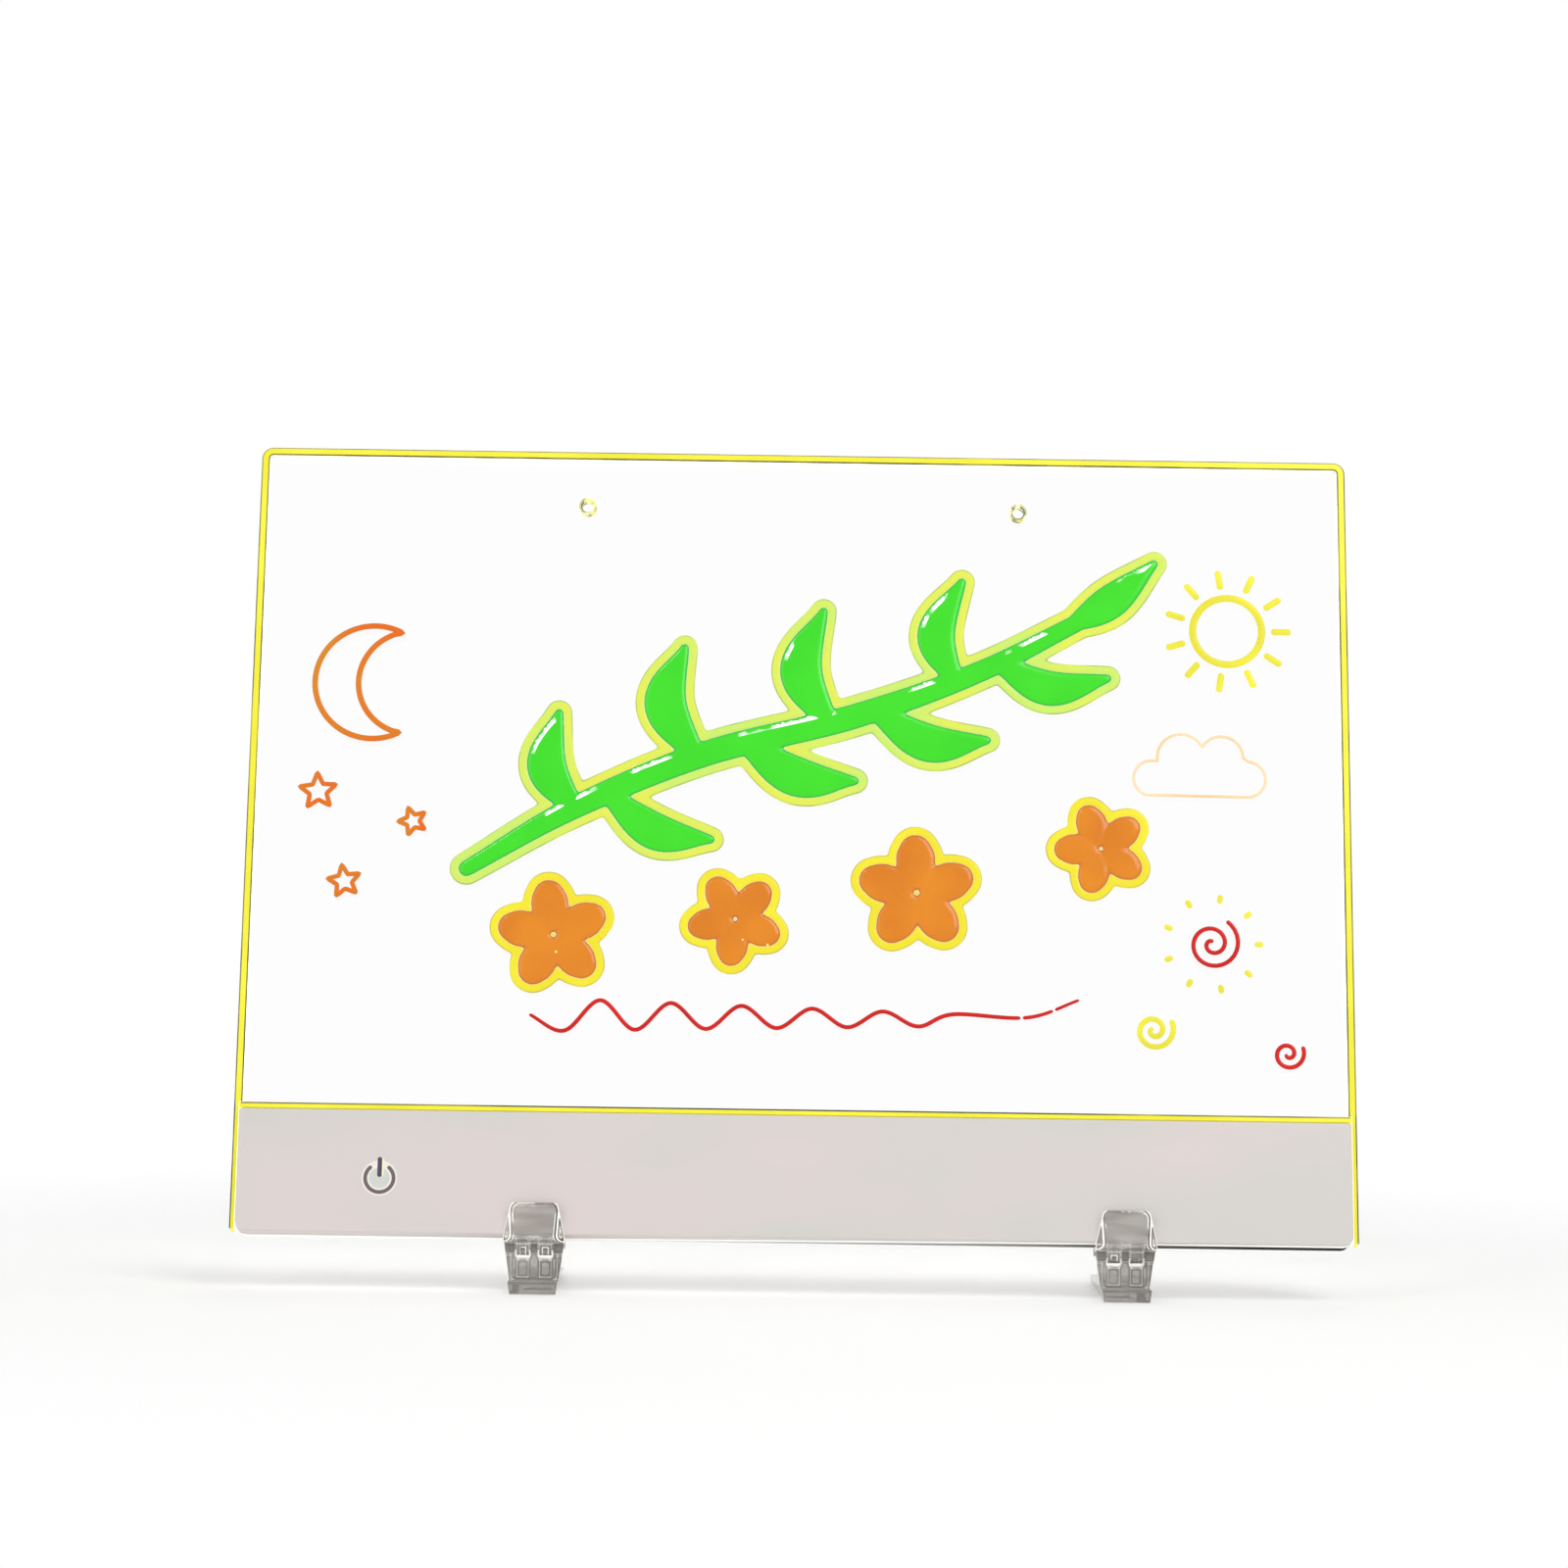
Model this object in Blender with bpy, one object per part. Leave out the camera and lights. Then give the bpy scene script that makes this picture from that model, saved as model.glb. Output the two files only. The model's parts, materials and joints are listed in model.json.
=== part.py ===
"""Edge-lit drawing board that stands on two clear clip-on feet with hinges.

The board leans back. A clear sheet with a glowing rim stands in a white control
strip, which holds the lamps, the touch key's circuit, the battery and the inlet.
"""
import math

import bmesh
import bpy
from mathutils import Vector

MM = 0.001

# Whole board, measured over the rim and down to the underside of the strip
BOARD_WIDTH = 300 * MM
BOARD_HEIGHT = 218.8 * MM
LEAN = math.radians(14.4)

# Clearances
GAP = 0.3 * MM
BOND = 0.1 * MM
OVERRUN = 2 * MM

# Clear sheet
SHEET_THICKNESS = 4 * MM
TONGUE_DEPTH = 8 * MM
HOLE_SPACING = 119 * MM
HOLE_DROP = 15.3 * MM
HOLE_RADIUS = 1.6 * MM
HOLE_CHAMFER = 0.8 * MM

# Yellow rim round the top and both sides, and the two light bars on the strip
RIM_WALL = 1.3 * MM
RIM_FACE = 2.2 * MM
RIM_LEG = 0.9 * MM
RIM_CORNER = 2.8 * MM
RIM_INNER_CORNER = 1.3 * MM
RIM_END = 0.8 * MM
BAR_HEIGHT = 1.5 * MM
BAR_SETBACK = 0.4 * MM

# White control strip
STRIP_HEIGHT = 32.9 * MM
STRIP_DEPTH = 10 * MM
COVER_WALL = 1.5 * MM
STRIP_CORNER = 2.5 * MM
STRIP_TOP_CORNER = 0.5 * MM
COVER_EDGE = 0.4 * MM
RIB_WIDTH = 1.2 * MM
RIB_SHARES = (-0.84, -0.5, -0.17, 0.17, 0.5, 0.84)

# Rail that holds the sheet's lower edge over the lamps
RAIL_WALL = 0.8 * MM
RAIL_FLOOR = 0.8 * MM
RAIL_GRIP = 5 * MM
RAIL_INSET = 8.5 * MM
LAMP_BOARD_THICKNESS = 0.8 * MM
LAMP_BOARD_WIDTH = 4 * MM
LAMP_BOARD_TAIL = 5 * MM
LAMP_COUNT = 18
LAMP_LENGTH = 2.8 * MM
LAMP_WIDTH = 2.8 * MM
LAMP_HEIGHT = 0.9 * MM

# Touch key and its circuit board
KEY_INSET = 39.6 * MM
KEY_HEADROOM = 7.2 * MM
CONTROL_LEFT = 16 * MM
CONTROL_LENGTH = 44 * MM
CONTROL_HEADROOM = 1.2 * MM
CONTROL_BOTTOM = 4.2 * MM
CONTROL_SETBACK = 5.5 * MM
CIRCUIT_THICKNESS = 1.2 * MM
CHIP_LENGTH = 5 * MM
CHIP_WIDTH = 4 * MM
CHIP_HEIGHT = 1.2 * MM
CHIP_SHIFT = 17 * MM
SPRING_RADIUS = 4 * MM
SPRING_WIRE = 0.25 * MM
SPRING_TURNS = 4
POST_RADIUS = 1.6 * MM
POST_INSET = 3 * MM

# Battery, charging board and inlet
BATTERY_LENGTH = 50 * MM
BATTERY_HEADROOM = 1.9 * MM
BATTERY_DEPTH = 4 * MM
BATTERY_BOTTOM = 5.5 * MM
BATTERY_CORNER = 1.2 * MM
TAPE_THICKNESS = 0.5 * MM
TAPE_MARGIN = 3 * MM
TAPE_HEIGHT_SHARE = 0.7
SPACING = 16 * MM
CHARGER_LENGTH = 16 * MM
CHARGER_DEPTH = 6 * MM
CHARGER_THICKNESS = 1 * MM
INLET_WIDTH = 8.9 * MM
INLET_HEIGHT = 3.2 * MM
INLET_DEPTH = 6.5 * MM
INLET_SHELL = 0.3 * MM
INLET_BACK = 0.8 * MM
INLET_TONGUE_WIDTH = 6.7 * MM
INLET_TONGUE = 0.7 * MM
INLET_TONGUE_SETBACK = 1 * MM
INLET_RISE = 1.3 * MM
INLET_RECESS = 0.3 * MM
SHELF_THICKNESS = 1.2 * MM

# Wires inside the strip
LEAD_RADIUS = 0.5 * MM
LEAD_PITCH = 2 * MM
LEAD_FLOOR = 4 * MM
LEAD_POINTS = 16

# Screws that close the strip
SCREW_INSET = 7.5 * MM
SCREW_CLEAR = 11 * MM
SCREW_RADIUS = 0.8 * MM
SCREW_LENGTH = 5.2 * MM
SCREW_HEAD_RADIUS = 1.9 * MM
SCREW_HEAD_HEIGHT = 1.3 * MM
SCREW_CROSS_LENGTH = 2 * MM
SCREW_CROSS_WIDTH = 0.5 * MM
SCREW_CROSS_DEPTH = 0.6 * MM
SCREW_SINK = 2 * MM
BOSS_WALL = 1.5 * MM
BOSS_FLOOR = 1 * MM

# Clip that grips the strip's lower edge
LEFT_CLIP_X = -69 * MM
RIGHT_CLIP_X = 88 * MM
LIP_HEIGHT = 8.3 * MM
LIP_TIP = 1.5 * MM
LIP_ROOT = 2.2 * MM
LIP_LEAD_IN = 0.6 * MM
LIP_LEAD_HEIGHT = 1.4 * MM
LIP_TOP_HALF_WIDTH = 6.1 * MM
CLIP_HALF_WIDTH = 8.1 * MM
CLIP_WEB = 1.8 * MM
CLIP_CORNER = 1.5 * MM
CLIP_FILLET = 0.5 * MM

# Hinge between the clip and its foot
HINGE_RADIUS = 2.2 * MM
HINGE_HEIGHT = 11.6 * MM
PIN_RADIUS = 0.75 * MM
PIN_CLEARANCE = 0.2 * MM
PIN_SETBACK = 0.6 * MM
CENTRE_EAR_HALF = 1 * MM
KNUCKLE_WIDTH = 3.4 * MM

# Foot
FOOT_FRONT = 9 * MM
FOOT_REAR = 40 * MM
FOOT_HALF_WIDTH = 6.15 * MM
FOOT_THICKNESS = 3.2 * MM
FOOT_REAR_THICKNESS = 2.2 * MM
FOOT_FRONT_CORNER = 1 * MM
FOOT_REAR_CORNER = 4.5 * MM
LEG_HALF_THICKNESS = 1.6 * MM
LEG_FRONT_FILLET = 1.2 * MM
LEG_REAR_FILLET = 2.4 * MM
POCKET_FLOOR = 0.8 * MM
POCKET_CORNER = 0.7 * MM
PANEL_MARGIN = 0.5 * MM
PANEL_DEPTH = 1.1 * MM

# Smoothness of round shapes
ARC_STEPS = 4
FINE_STEPS = 10
ROUND_SIDES = 24
SHARP = math.radians(35)

# Places worked out from the sizes
SHEET_HALF_THICKNESS = SHEET_THICKNESS / 2
SHEET_HALF_WIDTH = BOARD_WIDTH / 2 - RIM_WALL - GAP
SHEET_TOP = BOARD_HEIGHT - RIM_WALL - GAP
SHEET_BOTTOM = STRIP_HEIGHT - TONGUE_DEPTH
STRIP_HALF_WIDTH = BOARD_WIDTH / 2 - RIM_WALL - GAP
STRIP_HALF_DEPTH = STRIP_DEPTH / 2
INNER_HALF_WIDTH = STRIP_HALF_WIDTH - COVER_WALL
INNER_HALF_DEPTH = STRIP_HALF_DEPTH - COVER_WALL
SLOT_HALF = SHEET_HALF_THICKNESS + GAP
RIM_HALF_DEPTH = SLOT_HALF + RIM_LEG
BAR_BOTTOM = STRIP_HEIGHT + GAP
BAR_TOP = BAR_BOTTOM + BAR_HEIGHT
RIM_LEG_BOTTOM = BAR_TOP + GAP
LAMP_TOP = SHEET_BOTTOM - GAP
LAMP_BOARD_TOP = LAMP_TOP - LAMP_HEIGHT - BOND
LAMP_BOARD_BOTTOM = LAMP_BOARD_TOP - LAMP_BOARD_THICKNESS
RAIL_SLOT_FLOOR = LAMP_BOARD_BOTTOM - GAP
RAIL_BOTTOM = RAIL_SLOT_FLOOR - RAIL_FLOOR
RAIL_TOP = SHEET_BOTTOM + RAIL_GRIP
RAIL_HALF_LENGTH = STRIP_HALF_WIDTH - RAIL_INSET
RAIL_HALF_DEPTH = SLOT_HALF + RAIL_WALL
KEY_X = KEY_INSET - BOARD_WIDTH / 2
KEY_HEIGHT = RAIL_BOTTOM - KEY_HEADROOM
CONTROL_HEIGHT = RAIL_BOTTOM - CONTROL_HEADROOM - CONTROL_BOTTOM
CONTROL_X = KEY_X - CONTROL_LEFT
CONTROL_END = CONTROL_X + CONTROL_LENGTH
CONTROL_FRONT = CONTROL_SETBACK - STRIP_HALF_DEPTH
CONTROL_BACK = CONTROL_FRONT + CIRCUIT_THICKNESS
SCREW_Z = RAIL_BOTTOM / 2
FIRST_SCREW_X = SCREW_INSET - STRIP_HALF_WIDTH
SECOND_SCREW_X = CONTROL_END + SCREW_CLEAR
BATTERY_X = SECOND_SCREW_X + SPACING
BATTERY_END = BATTERY_X + BATTERY_LENGTH
THIRD_SCREW_X = BATTERY_END + SPACING
CHARGER_X = THIRD_SCREW_X + SPACING
CHARGER_END = CHARGER_X + CHARGER_LENGTH
LAST_SCREW_X = -FIRST_SCREW_X
FOURTH_SCREW_X = (CHARGER_END + LAST_SCREW_X) / 2
SCREW_PLACES = (FIRST_SCREW_X, SECOND_SCREW_X, THIRD_SCREW_X, FOURTH_SCREW_X, LAST_SCREW_X)
BATTERY_HEIGHT = RAIL_BOTTOM - BATTERY_HEADROOM - BATTERY_BOTTOM
BATTERY_MIDDLE = BATTERY_BOTTOM + BATTERY_HEIGHT / 2
TAPE_HALF_HEIGHT = BATTERY_HEIGHT * TAPE_HEIGHT_SHARE / 2
TAPE_BACK = INNER_HALF_DEPTH - GAP
BATTERY_BACK = TAPE_BACK - TAPE_THICKNESS - BOND
BATTERY_FRONT = BATTERY_BACK - BATTERY_DEPTH
INLET_X = (CHARGER_X + CHARGER_END) / 2
INLET_Z = SCREW_Z + INLET_RISE
INLET_MOUTH = STRIP_HALF_DEPTH - INLET_RECESS
CHARGER_TOP = INLET_Z - INLET_HEIGHT / 2 - BOND
CHARGER_BOTTOM = CHARGER_TOP - CHARGER_THICKNESS
CHARGER_BACK = INNER_HALF_DEPTH - GAP
CHARGER_FRONT = CHARGER_BACK - CHARGER_DEPTH
LEAD_FRONT = -INNER_HALF_DEPTH + LEAD_RADIUS + GAP
POST_TOP = SCREW_Z + SCREW_HEAD_RADIUS + GAP + BOSS_WALL
HEAD_SEAT = STRIP_HALF_DEPTH - SCREW_SINK
HINGE_DROP = HINGE_RADIUS + GAP + BOND
KNUCKLE_START = CENTRE_EAR_HALF + GAP
KNUCKLE_END = KNUCKLE_START + KNUCKLE_WIDTH
BORE_RADIUS = PIN_RADIUS + PIN_CLEARANCE
CLIP_INNER = STRIP_HALF_DEPTH + GAP
CLIP_FLOOR = HINGE_DROP - GAP
CLIP_UNDERSIDE = CLIP_FLOOR - CLIP_WEB
CLIP_TOP = HINGE_DROP + LIP_HEIGHT
POCKET_BOTTOM = -HINGE_RADIUS - POCKET_FLOOR
GROUND = -HINGE_HEIGHT
HINGE_Y = (FOOT_FRONT - RIM_HALF_DEPTH * math.cos(LEAN)
           - (HINGE_DROP + BOARD_HEIGHT) * math.sin(LEAN)) / 2

AXES = "xyz"


def clear_scene():
    for obj in list(bpy.data.objects):
        bpy.data.objects.remove(obj, do_unlink=True)


def material(name, colour, roughness, metallic=0.0, alpha=1.0, glow=0.0):
    """Principled material; glow makes it shine in its own colour."""
    made = bpy.data.materials.new(name)
    made.use_nodes = True
    made.diffuse_color = (*colour, alpha)
    shader = made.node_tree.nodes["Principled BSDF"]
    shader.inputs["Base Color"].default_value = (*colour, 1)
    shader.inputs["Roughness"].default_value = roughness
    shader.inputs["Metallic"].default_value = metallic
    shader.inputs["Transmission Weight"].default_value = 1 - alpha
    shader.inputs["Emission Color"].default_value = (*colour, 1)
    shader.inputs["Emission Strength"].default_value = glow
    return made


def empty(name, location, turn=0.0):
    """Frame for a group of pieces, turned about X."""
    frame = bpy.data.objects.new(name, None)
    bpy.context.collection.objects.link(frame)
    frame.location = location
    frame.rotation_euler = (turn, 0, 0)
    return frame


def new_object(name, bm):
    mesh = bpy.data.meshes.new(name)
    bmesh.ops.recalc_face_normals(bm, faces=bm.faces)
    bm.to_mesh(mesh)
    bm.free()
    obj = bpy.data.objects.new(name, mesh)
    bpy.context.collection.objects.link(obj)
    return obj


def finish(obj, frame, look, smooth=False):
    """Puts a piece in its frame and gives it its material."""
    obj.parent = frame
    obj.data.materials.append(look)
    if smooth:
        obj.data.shade_smooth()
        obj.data.set_sharp_from_angle(angle=SHARP)
    return obj


def boolean(target, tool, operation="DIFFERENCE"):
    """Works a hidden tool into a piece."""
    tool.hide_render = True
    tool.display_type = "WIRE"
    tool.parent = target.parent
    change = target.modifiers.new(tool.name, "BOOLEAN")
    change.object = tool
    change.operation = operation
    change.solver = "EXACT"


def rounded(corners, steps=ARC_STEPS):
    """Outline through corners (a, b, radius), each rounded by its radius."""
    outline = []
    for index, (a, b, radius) in enumerate(corners):
        here = Vector((a, b))
        if not radius:
            outline.append((a, b))
            continue
        back = (Vector(corners[index - 1][:2]) - here).normalized()
        ahead = (Vector(corners[(index + 1) % len(corners)][:2]) - here).normalized()
        half = back.angle(ahead) / 2
        centre = here + (back + ahead).normalized() * radius / math.sin(half)
        start = here + back * radius / math.tan(half) - centre
        end = here + ahead * radius / math.tan(half) - centre
        first = math.atan2(start.y, start.x)
        turn = (math.atan2(end.y, end.x) - first + math.pi) % math.tau - math.pi
        for step in range(steps + 1):
            outline.append(on_circle(centre, radius, first + turn * step / steps))
    return outline


def on_circle(centre, radius, angle):
    return (centre[0] + radius * math.cos(angle), centre[1] + radius * math.sin(angle))


def arc(centre, radius, first, last, steps=FINE_STEPS):
    """Points from one angle to another round a centre."""
    return [on_circle(centre, radius, first + (last - first) * step / steps)
            for step in range(steps + 1)]


def rectangle(a_low, a_high, b_low, b_high, radius=0.0):
    return rounded([(a_low, b_low, radius), (a_high, b_low, radius),
                    (a_high, b_high, radius), (a_low, b_high, radius)])


def circle(centre, radius, sides=ROUND_SIDES):
    return [on_circle(centre, radius, math.tau * side / sides) for side in range(sides)]


def prism(name, outline, axis, low, high, soft=0.0, soft_at=None):
    """Outline drawn on the two other axes and extruded along this one.

    With soft, the edges of the end face at soft_at are rounded by that much.
    """
    along = AXES.index(axis)
    first, second = (place for place in range(len(AXES)) if place != along)
    bm = bmesh.new()
    ring = []
    for a, b in outline:
        place = Vector((0, 0, 0))
        place[first] = a
        place[second] = b
        place[along] = min(low, high)
        ring.append(bm.verts.new(place))
    bm.faces.new(ring)
    grown = bmesh.ops.extrude_face_region(bm, geom=bm.faces[:])["geom"]
    step = Vector((0, 0, 0))
    step[along] = abs(high - low)
    bmesh.ops.translate(bm, vec=step, verts=[v for v in grown if isinstance(v, bmesh.types.BMVert)])
    if soft:
        edges = [e for e in bm.edges if all(abs(v.co[along] - soft_at) < soft / 4 for v in e.verts)]
        bmesh.ops.bevel(bm, geom=edges, offset=soft, segments=2, profile=0.5, affect="EDGES")
    return new_object(name, bm)


def block(name, low, high):
    """Box between two corners."""
    return prism(name, rectangle(low[0], high[0], low[1], high[1]), "z", low[2], high[2])


def turned(name, profile, centre, sides=ROUND_SIDES):
    """Solid of revolution along y from (y, radius) pairs, about centre (x, z)."""
    bm = bmesh.new()
    rings = []
    for y, radius in profile:
        rings.append([bm.verts.new((x, y, z)) for x, z in circle(centre, radius, sides)])
    for near, far in zip(rings, rings[1:]):
        for side in range(sides):
            after = (side + 1) % sides
            bm.faces.new((near[side], near[after], far[after], far[side]))
    bm.faces.new(rings[0])
    bm.faces.new(rings[-1])
    return new_object(name, bm)


def join_all(name, shapes):
    """One mesh of several separate closed shapes, for use as a tool."""
    bm = bmesh.new()
    for shape in shapes:
        bm.from_mesh(shape.data)
        bpy.data.objects.remove(shape, do_unlink=True)
    return new_object(name, bm)


def tube(name, points, radius, frame, look, resolution=1):
    """Round wire along points."""
    curve = bpy.data.curves.new(name, "CURVE")
    curve.dimensions = "3D"
    curve.bevel_depth = radius
    curve.bevel_resolution = resolution
    curve.use_fill_caps = True
    spline = curve.splines.new("POLY")
    spline.points.add(len(points) - 1)
    for point, place in zip(spline.points, points):
        point.co = (*place, 1)
    curve.materials.append(look)
    obj = bpy.data.objects.new(name, curve)
    bpy.context.collection.objects.link(obj)
    obj.parent = frame
    return obj


def smooth_route(knots, count=LEAD_POINTS):
    """Points along a smooth curve through the knots."""
    knots = [Vector(knot) for knot in knots]
    ends = [knots[0] * 2 - knots[1], *knots, knots[-1] * 2 - knots[-2]]
    route = []
    for step in range(count):
        at = step / (count - 1) * (len(knots) - 1)
        span = min(int(at), len(knots) - 2)
        t = at - span
        before, start, stop, after = ends[span:span + 4]
        bend = (2 * start + (stop - before) * t
                + (2 * before - 5 * start + 4 * stop - after) * t ** 2
                + (3 * start - before - 3 * stop + after) * t ** 3)
        route.append(bend / 2)
    return route


def drawing_sheet(frame, look):
    """Clear sheet with a tongue that stands in the strip and two hanging holes."""
    corner = RIM_CORNER - RIM_WALL - GAP
    tongue = INNER_HALF_WIDTH - GAP
    outline = rounded([
        (-tongue, SHEET_BOTTOM, 0), (tongue, SHEET_BOTTOM, 0), (tongue, BAR_BOTTOM, 0),
        (SHEET_HALF_WIDTH, BAR_BOTTOM, 0), (SHEET_HALF_WIDTH, SHEET_TOP, corner),
        (-SHEET_HALF_WIDTH, SHEET_TOP, corner), (-SHEET_HALF_WIDTH, BAR_BOTTOM, 0),
        (-tongue, BAR_BOTTOM, 0)])
    sheet = prism("drawing_sheet", outline, "y", -SHEET_HALF_THICKNESS, SHEET_HALF_THICKNESS)
    finish(sheet, frame, look)
    flare = HOLE_RADIUS + HOLE_CHAMFER + OVERRUN
    waist = SHEET_HALF_THICKNESS - HOLE_CHAMFER
    end = SHEET_HALF_THICKNESS + OVERRUN
    profile = [(-end, flare), (-waist, HOLE_RADIUS), (waist, HOLE_RADIUS), (end, flare)]
    for side in (-1, 1):
        centre = (side * HOLE_SPACING / 2, BOARD_HEIGHT - HOLE_DROP)
        boolean(sheet, turned("hole_cutter", profile, centre))


def edge_rim(frame, look):
    """Channel bent round the top and both sides; beside the strip only its wall goes on."""
    half = BOARD_WIDTH / 2
    inner = half - RIM_FACE
    outline = rounded([
        (-half, RIM_END, 0), (-inner, RIM_END, 0), (-inner, BOARD_HEIGHT - RIM_FACE, RIM_INNER_CORNER),
        (inner, BOARD_HEIGHT - RIM_FACE, RIM_INNER_CORNER), (inner, RIM_END, 0), (half, RIM_END, 0),
        (half, BOARD_HEIGHT, RIM_CORNER), (-half, BOARD_HEIGHT, RIM_CORNER)])
    rim = prism("edge_rim", outline, "y", -RIM_HALF_DEPTH, RIM_HALF_DEPTH)
    finish(rim, frame, look)
    slot = half - RIM_WALL
    groove = rounded([
        (-slot, -OVERRUN, 0), (slot, -OVERRUN, 0),
        (slot, BOARD_HEIGHT - RIM_WALL, RIM_CORNER - RIM_WALL),
        (-slot, BOARD_HEIGHT - RIM_WALL, RIM_CORNER - RIM_WALL)])
    boolean(rim, prism("groove_cutter", groove, "y", -SLOT_HALF, SLOT_HALF))
    deep = RIM_HALF_DEPTH + OVERRUN
    boolean(rim, block("leg_cutter", (-slot, -deep, -OVERRUN), (slot, deep, RIM_LEG_BOTTOM)))


def light_bar(name, side, frame, look):
    """Glowing bar that closes the gap between sheet and strip on one face."""
    outer = side * (STRIP_HALF_DEPTH - BAR_SETBACK)
    outline = rectangle(-STRIP_HALF_WIDTH, STRIP_HALF_WIDTH, BAR_BOTTOM, BAR_TOP)
    finish(prism(name, outline, "y", outer, side * SLOT_HALF), frame, look)


def cover_shell(name, side, frame, look):
    """Half of the strip's housing, open at the parting plane and at the sheet's slot."""
    outer = side * STRIP_HALF_DEPTH
    parting = side * GAP / 2
    outline = rounded([
        (-STRIP_HALF_WIDTH, 0, STRIP_CORNER), (STRIP_HALF_WIDTH, 0, STRIP_CORNER),
        (STRIP_HALF_WIDTH, STRIP_HEIGHT, STRIP_TOP_CORNER),
        (-STRIP_HALF_WIDTH, STRIP_HEIGHT, STRIP_TOP_CORNER)])
    shell = prism(name, outline, "y", outer, parting, COVER_EDGE, outer)
    finish(shell, frame, look, smooth=True)
    hollow = rounded([
        (-INNER_HALF_WIDTH, COVER_WALL, STRIP_CORNER - COVER_WALL),
        (INNER_HALF_WIDTH, COVER_WALL, STRIP_CORNER - COVER_WALL),
        (INNER_HALF_WIDTH, STRIP_HEIGHT - COVER_WALL, 0),
        (-INNER_HALF_WIDTH, STRIP_HEIGHT - COVER_WALL, 0)])
    inner = side * INNER_HALF_DEPTH
    boolean(shell, prism("hollow_cutter", hollow, "y", inner, -side * OVERRUN))
    slot = rectangle(-INNER_HALF_WIDTH, INNER_HALF_WIDTH,
                     STRIP_HEIGHT - COVER_WALL - OVERRUN, STRIP_HEIGHT + OVERRUN)
    boolean(shell, prism("slot_cutter", slot, "y", side * SLOT_HALF, -side * OVERRUN))
    return shell


def saddles(side):
    """Ribs inside a cover that seat the rail, each rooted in the cover's face."""
    root = side * (INNER_HALF_DEPTH + COVER_WALL / 2)
    tip = side * (RAIL_HALF_DEPTH + GAP)
    ribs = []
    for share in RIB_SHARES:
        x = share * STRIP_HALF_WIDTH
        outline = rectangle(x - RIB_WIDTH / 2, x + RIB_WIDTH / 2, RAIL_BOTTOM, RAIL_TOP)
        ribs.append(prism("rib", outline, "y", root, tip))
    return ribs


def front_cover(frame, look):
    """Front half, with a blind boss behind its face for each screw."""
    shell = cover_shell("front_cover", -1, frame, look)
    root = -INNER_HALF_DEPTH - COVER_WALL / 2
    boss_radius = SCREW_RADIUS + PIN_CLEARANCE + BOSS_WALL
    shapes = saddles(-1)
    pilots = []
    for x in SCREW_PLACES:
        centre = (x, SCREW_Z)
        shapes.append(turned("boss", [(root, boss_radius), (-GAP / 2, boss_radius)], centre))
        pilot = SCREW_RADIUS + PIN_CLEARANCE
        floor = BOSS_FLOOR - INNER_HALF_DEPTH
        pilots.append(turned("pilot", [(floor, pilot), (OVERRUN, pilot)], centre))
    boolean(shell, join_all("front_bosses", shapes), "UNION")
    boolean(shell, join_all("pilot_cutters", pilots))


def rear_cover(frame, look):
    """Rear half, with sunk screw posts, board posts, the charger's shelf and the inlet's hole."""
    shell = cover_shell("rear_cover", 1, frame, look)
    root = INNER_HALF_DEPTH + COVER_WALL / 2
    head_clear = SCREW_HEAD_RADIUS + GAP
    boss_radius = head_clear + BOSS_WALL
    shapes = saddles(1)
    holes = []
    for x in SCREW_PLACES:
        centre = (x, SCREW_Z)
        shapes.append(turned("post", [(GAP / 2, boss_radius), (root, boss_radius)], centre))
        through = SCREW_RADIUS + GAP
        end = STRIP_HALF_DEPTH + OVERRUN
        holes.append(turned("through", [
            (-OVERRUN, through), (HEAD_SEAT, through), (HEAD_SEAT, head_clear), (end, head_clear)], centre))
    lower = CONTROL_BOTTOM + POST_INSET
    upper = CONTROL_BOTTOM + CONTROL_HEIGHT - POST_INSET
    for centre in ((CONTROL_X + POST_INSET, lower), (CONTROL_X + POST_INSET, upper),
                   (CONTROL_END - POST_INSET, lower), (CONTROL_END - POST_INSET, upper)):
        shapes.append(turned("board_post", [(CONTROL_BACK + GAP, POST_RADIUS), (root, POST_RADIUS)], centre))
    shelf_top = CHARGER_BOTTOM - GAP
    shapes.append(block("shelf", (CHARGER_X, CHARGER_FRONT + CHARGER_DEPTH / 4, shelf_top - SHELF_THICKNESS),
                        (CHARGER_END, root, shelf_top)))
    boolean(shell, join_all("rear_bosses", shapes), "UNION")
    boolean(shell, join_all("screw_cutters", holes))
    boolean(shell, prism("inlet_cutter", inlet_outline(GAP), "y",
                         INNER_HALF_DEPTH - GAP, STRIP_HALF_DEPTH + OVERRUN))


def inlet_outline(grow):
    """Stadium of the inlet's shell, grown or shrunk."""
    half_width = INLET_WIDTH / 2 + grow
    half_height = INLET_HEIGHT / 2 + grow
    return rectangle(INLET_X - half_width, INLET_X + half_width,
                     INLET_Z - half_height, INLET_Z + half_height, half_height - BOND)


def sheet_rail(frame, look):
    """Channel along the sheet's lower edge, with the lamps on its floor."""
    outline = [
        (-RAIL_HALF_DEPTH, RAIL_BOTTOM), (RAIL_HALF_DEPTH, RAIL_BOTTOM), (RAIL_HALF_DEPTH, RAIL_TOP),
        (SLOT_HALF, RAIL_TOP), (SLOT_HALF, RAIL_SLOT_FLOOR), (-SLOT_HALF, RAIL_SLOT_FLOOR),
        (-SLOT_HALF, RAIL_TOP), (-RAIL_HALF_DEPTH, RAIL_TOP)]
    finish(prism("sheet_rail", outline, "x", -RAIL_HALF_LENGTH, RAIL_HALF_LENGTH), frame, look)


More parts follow.
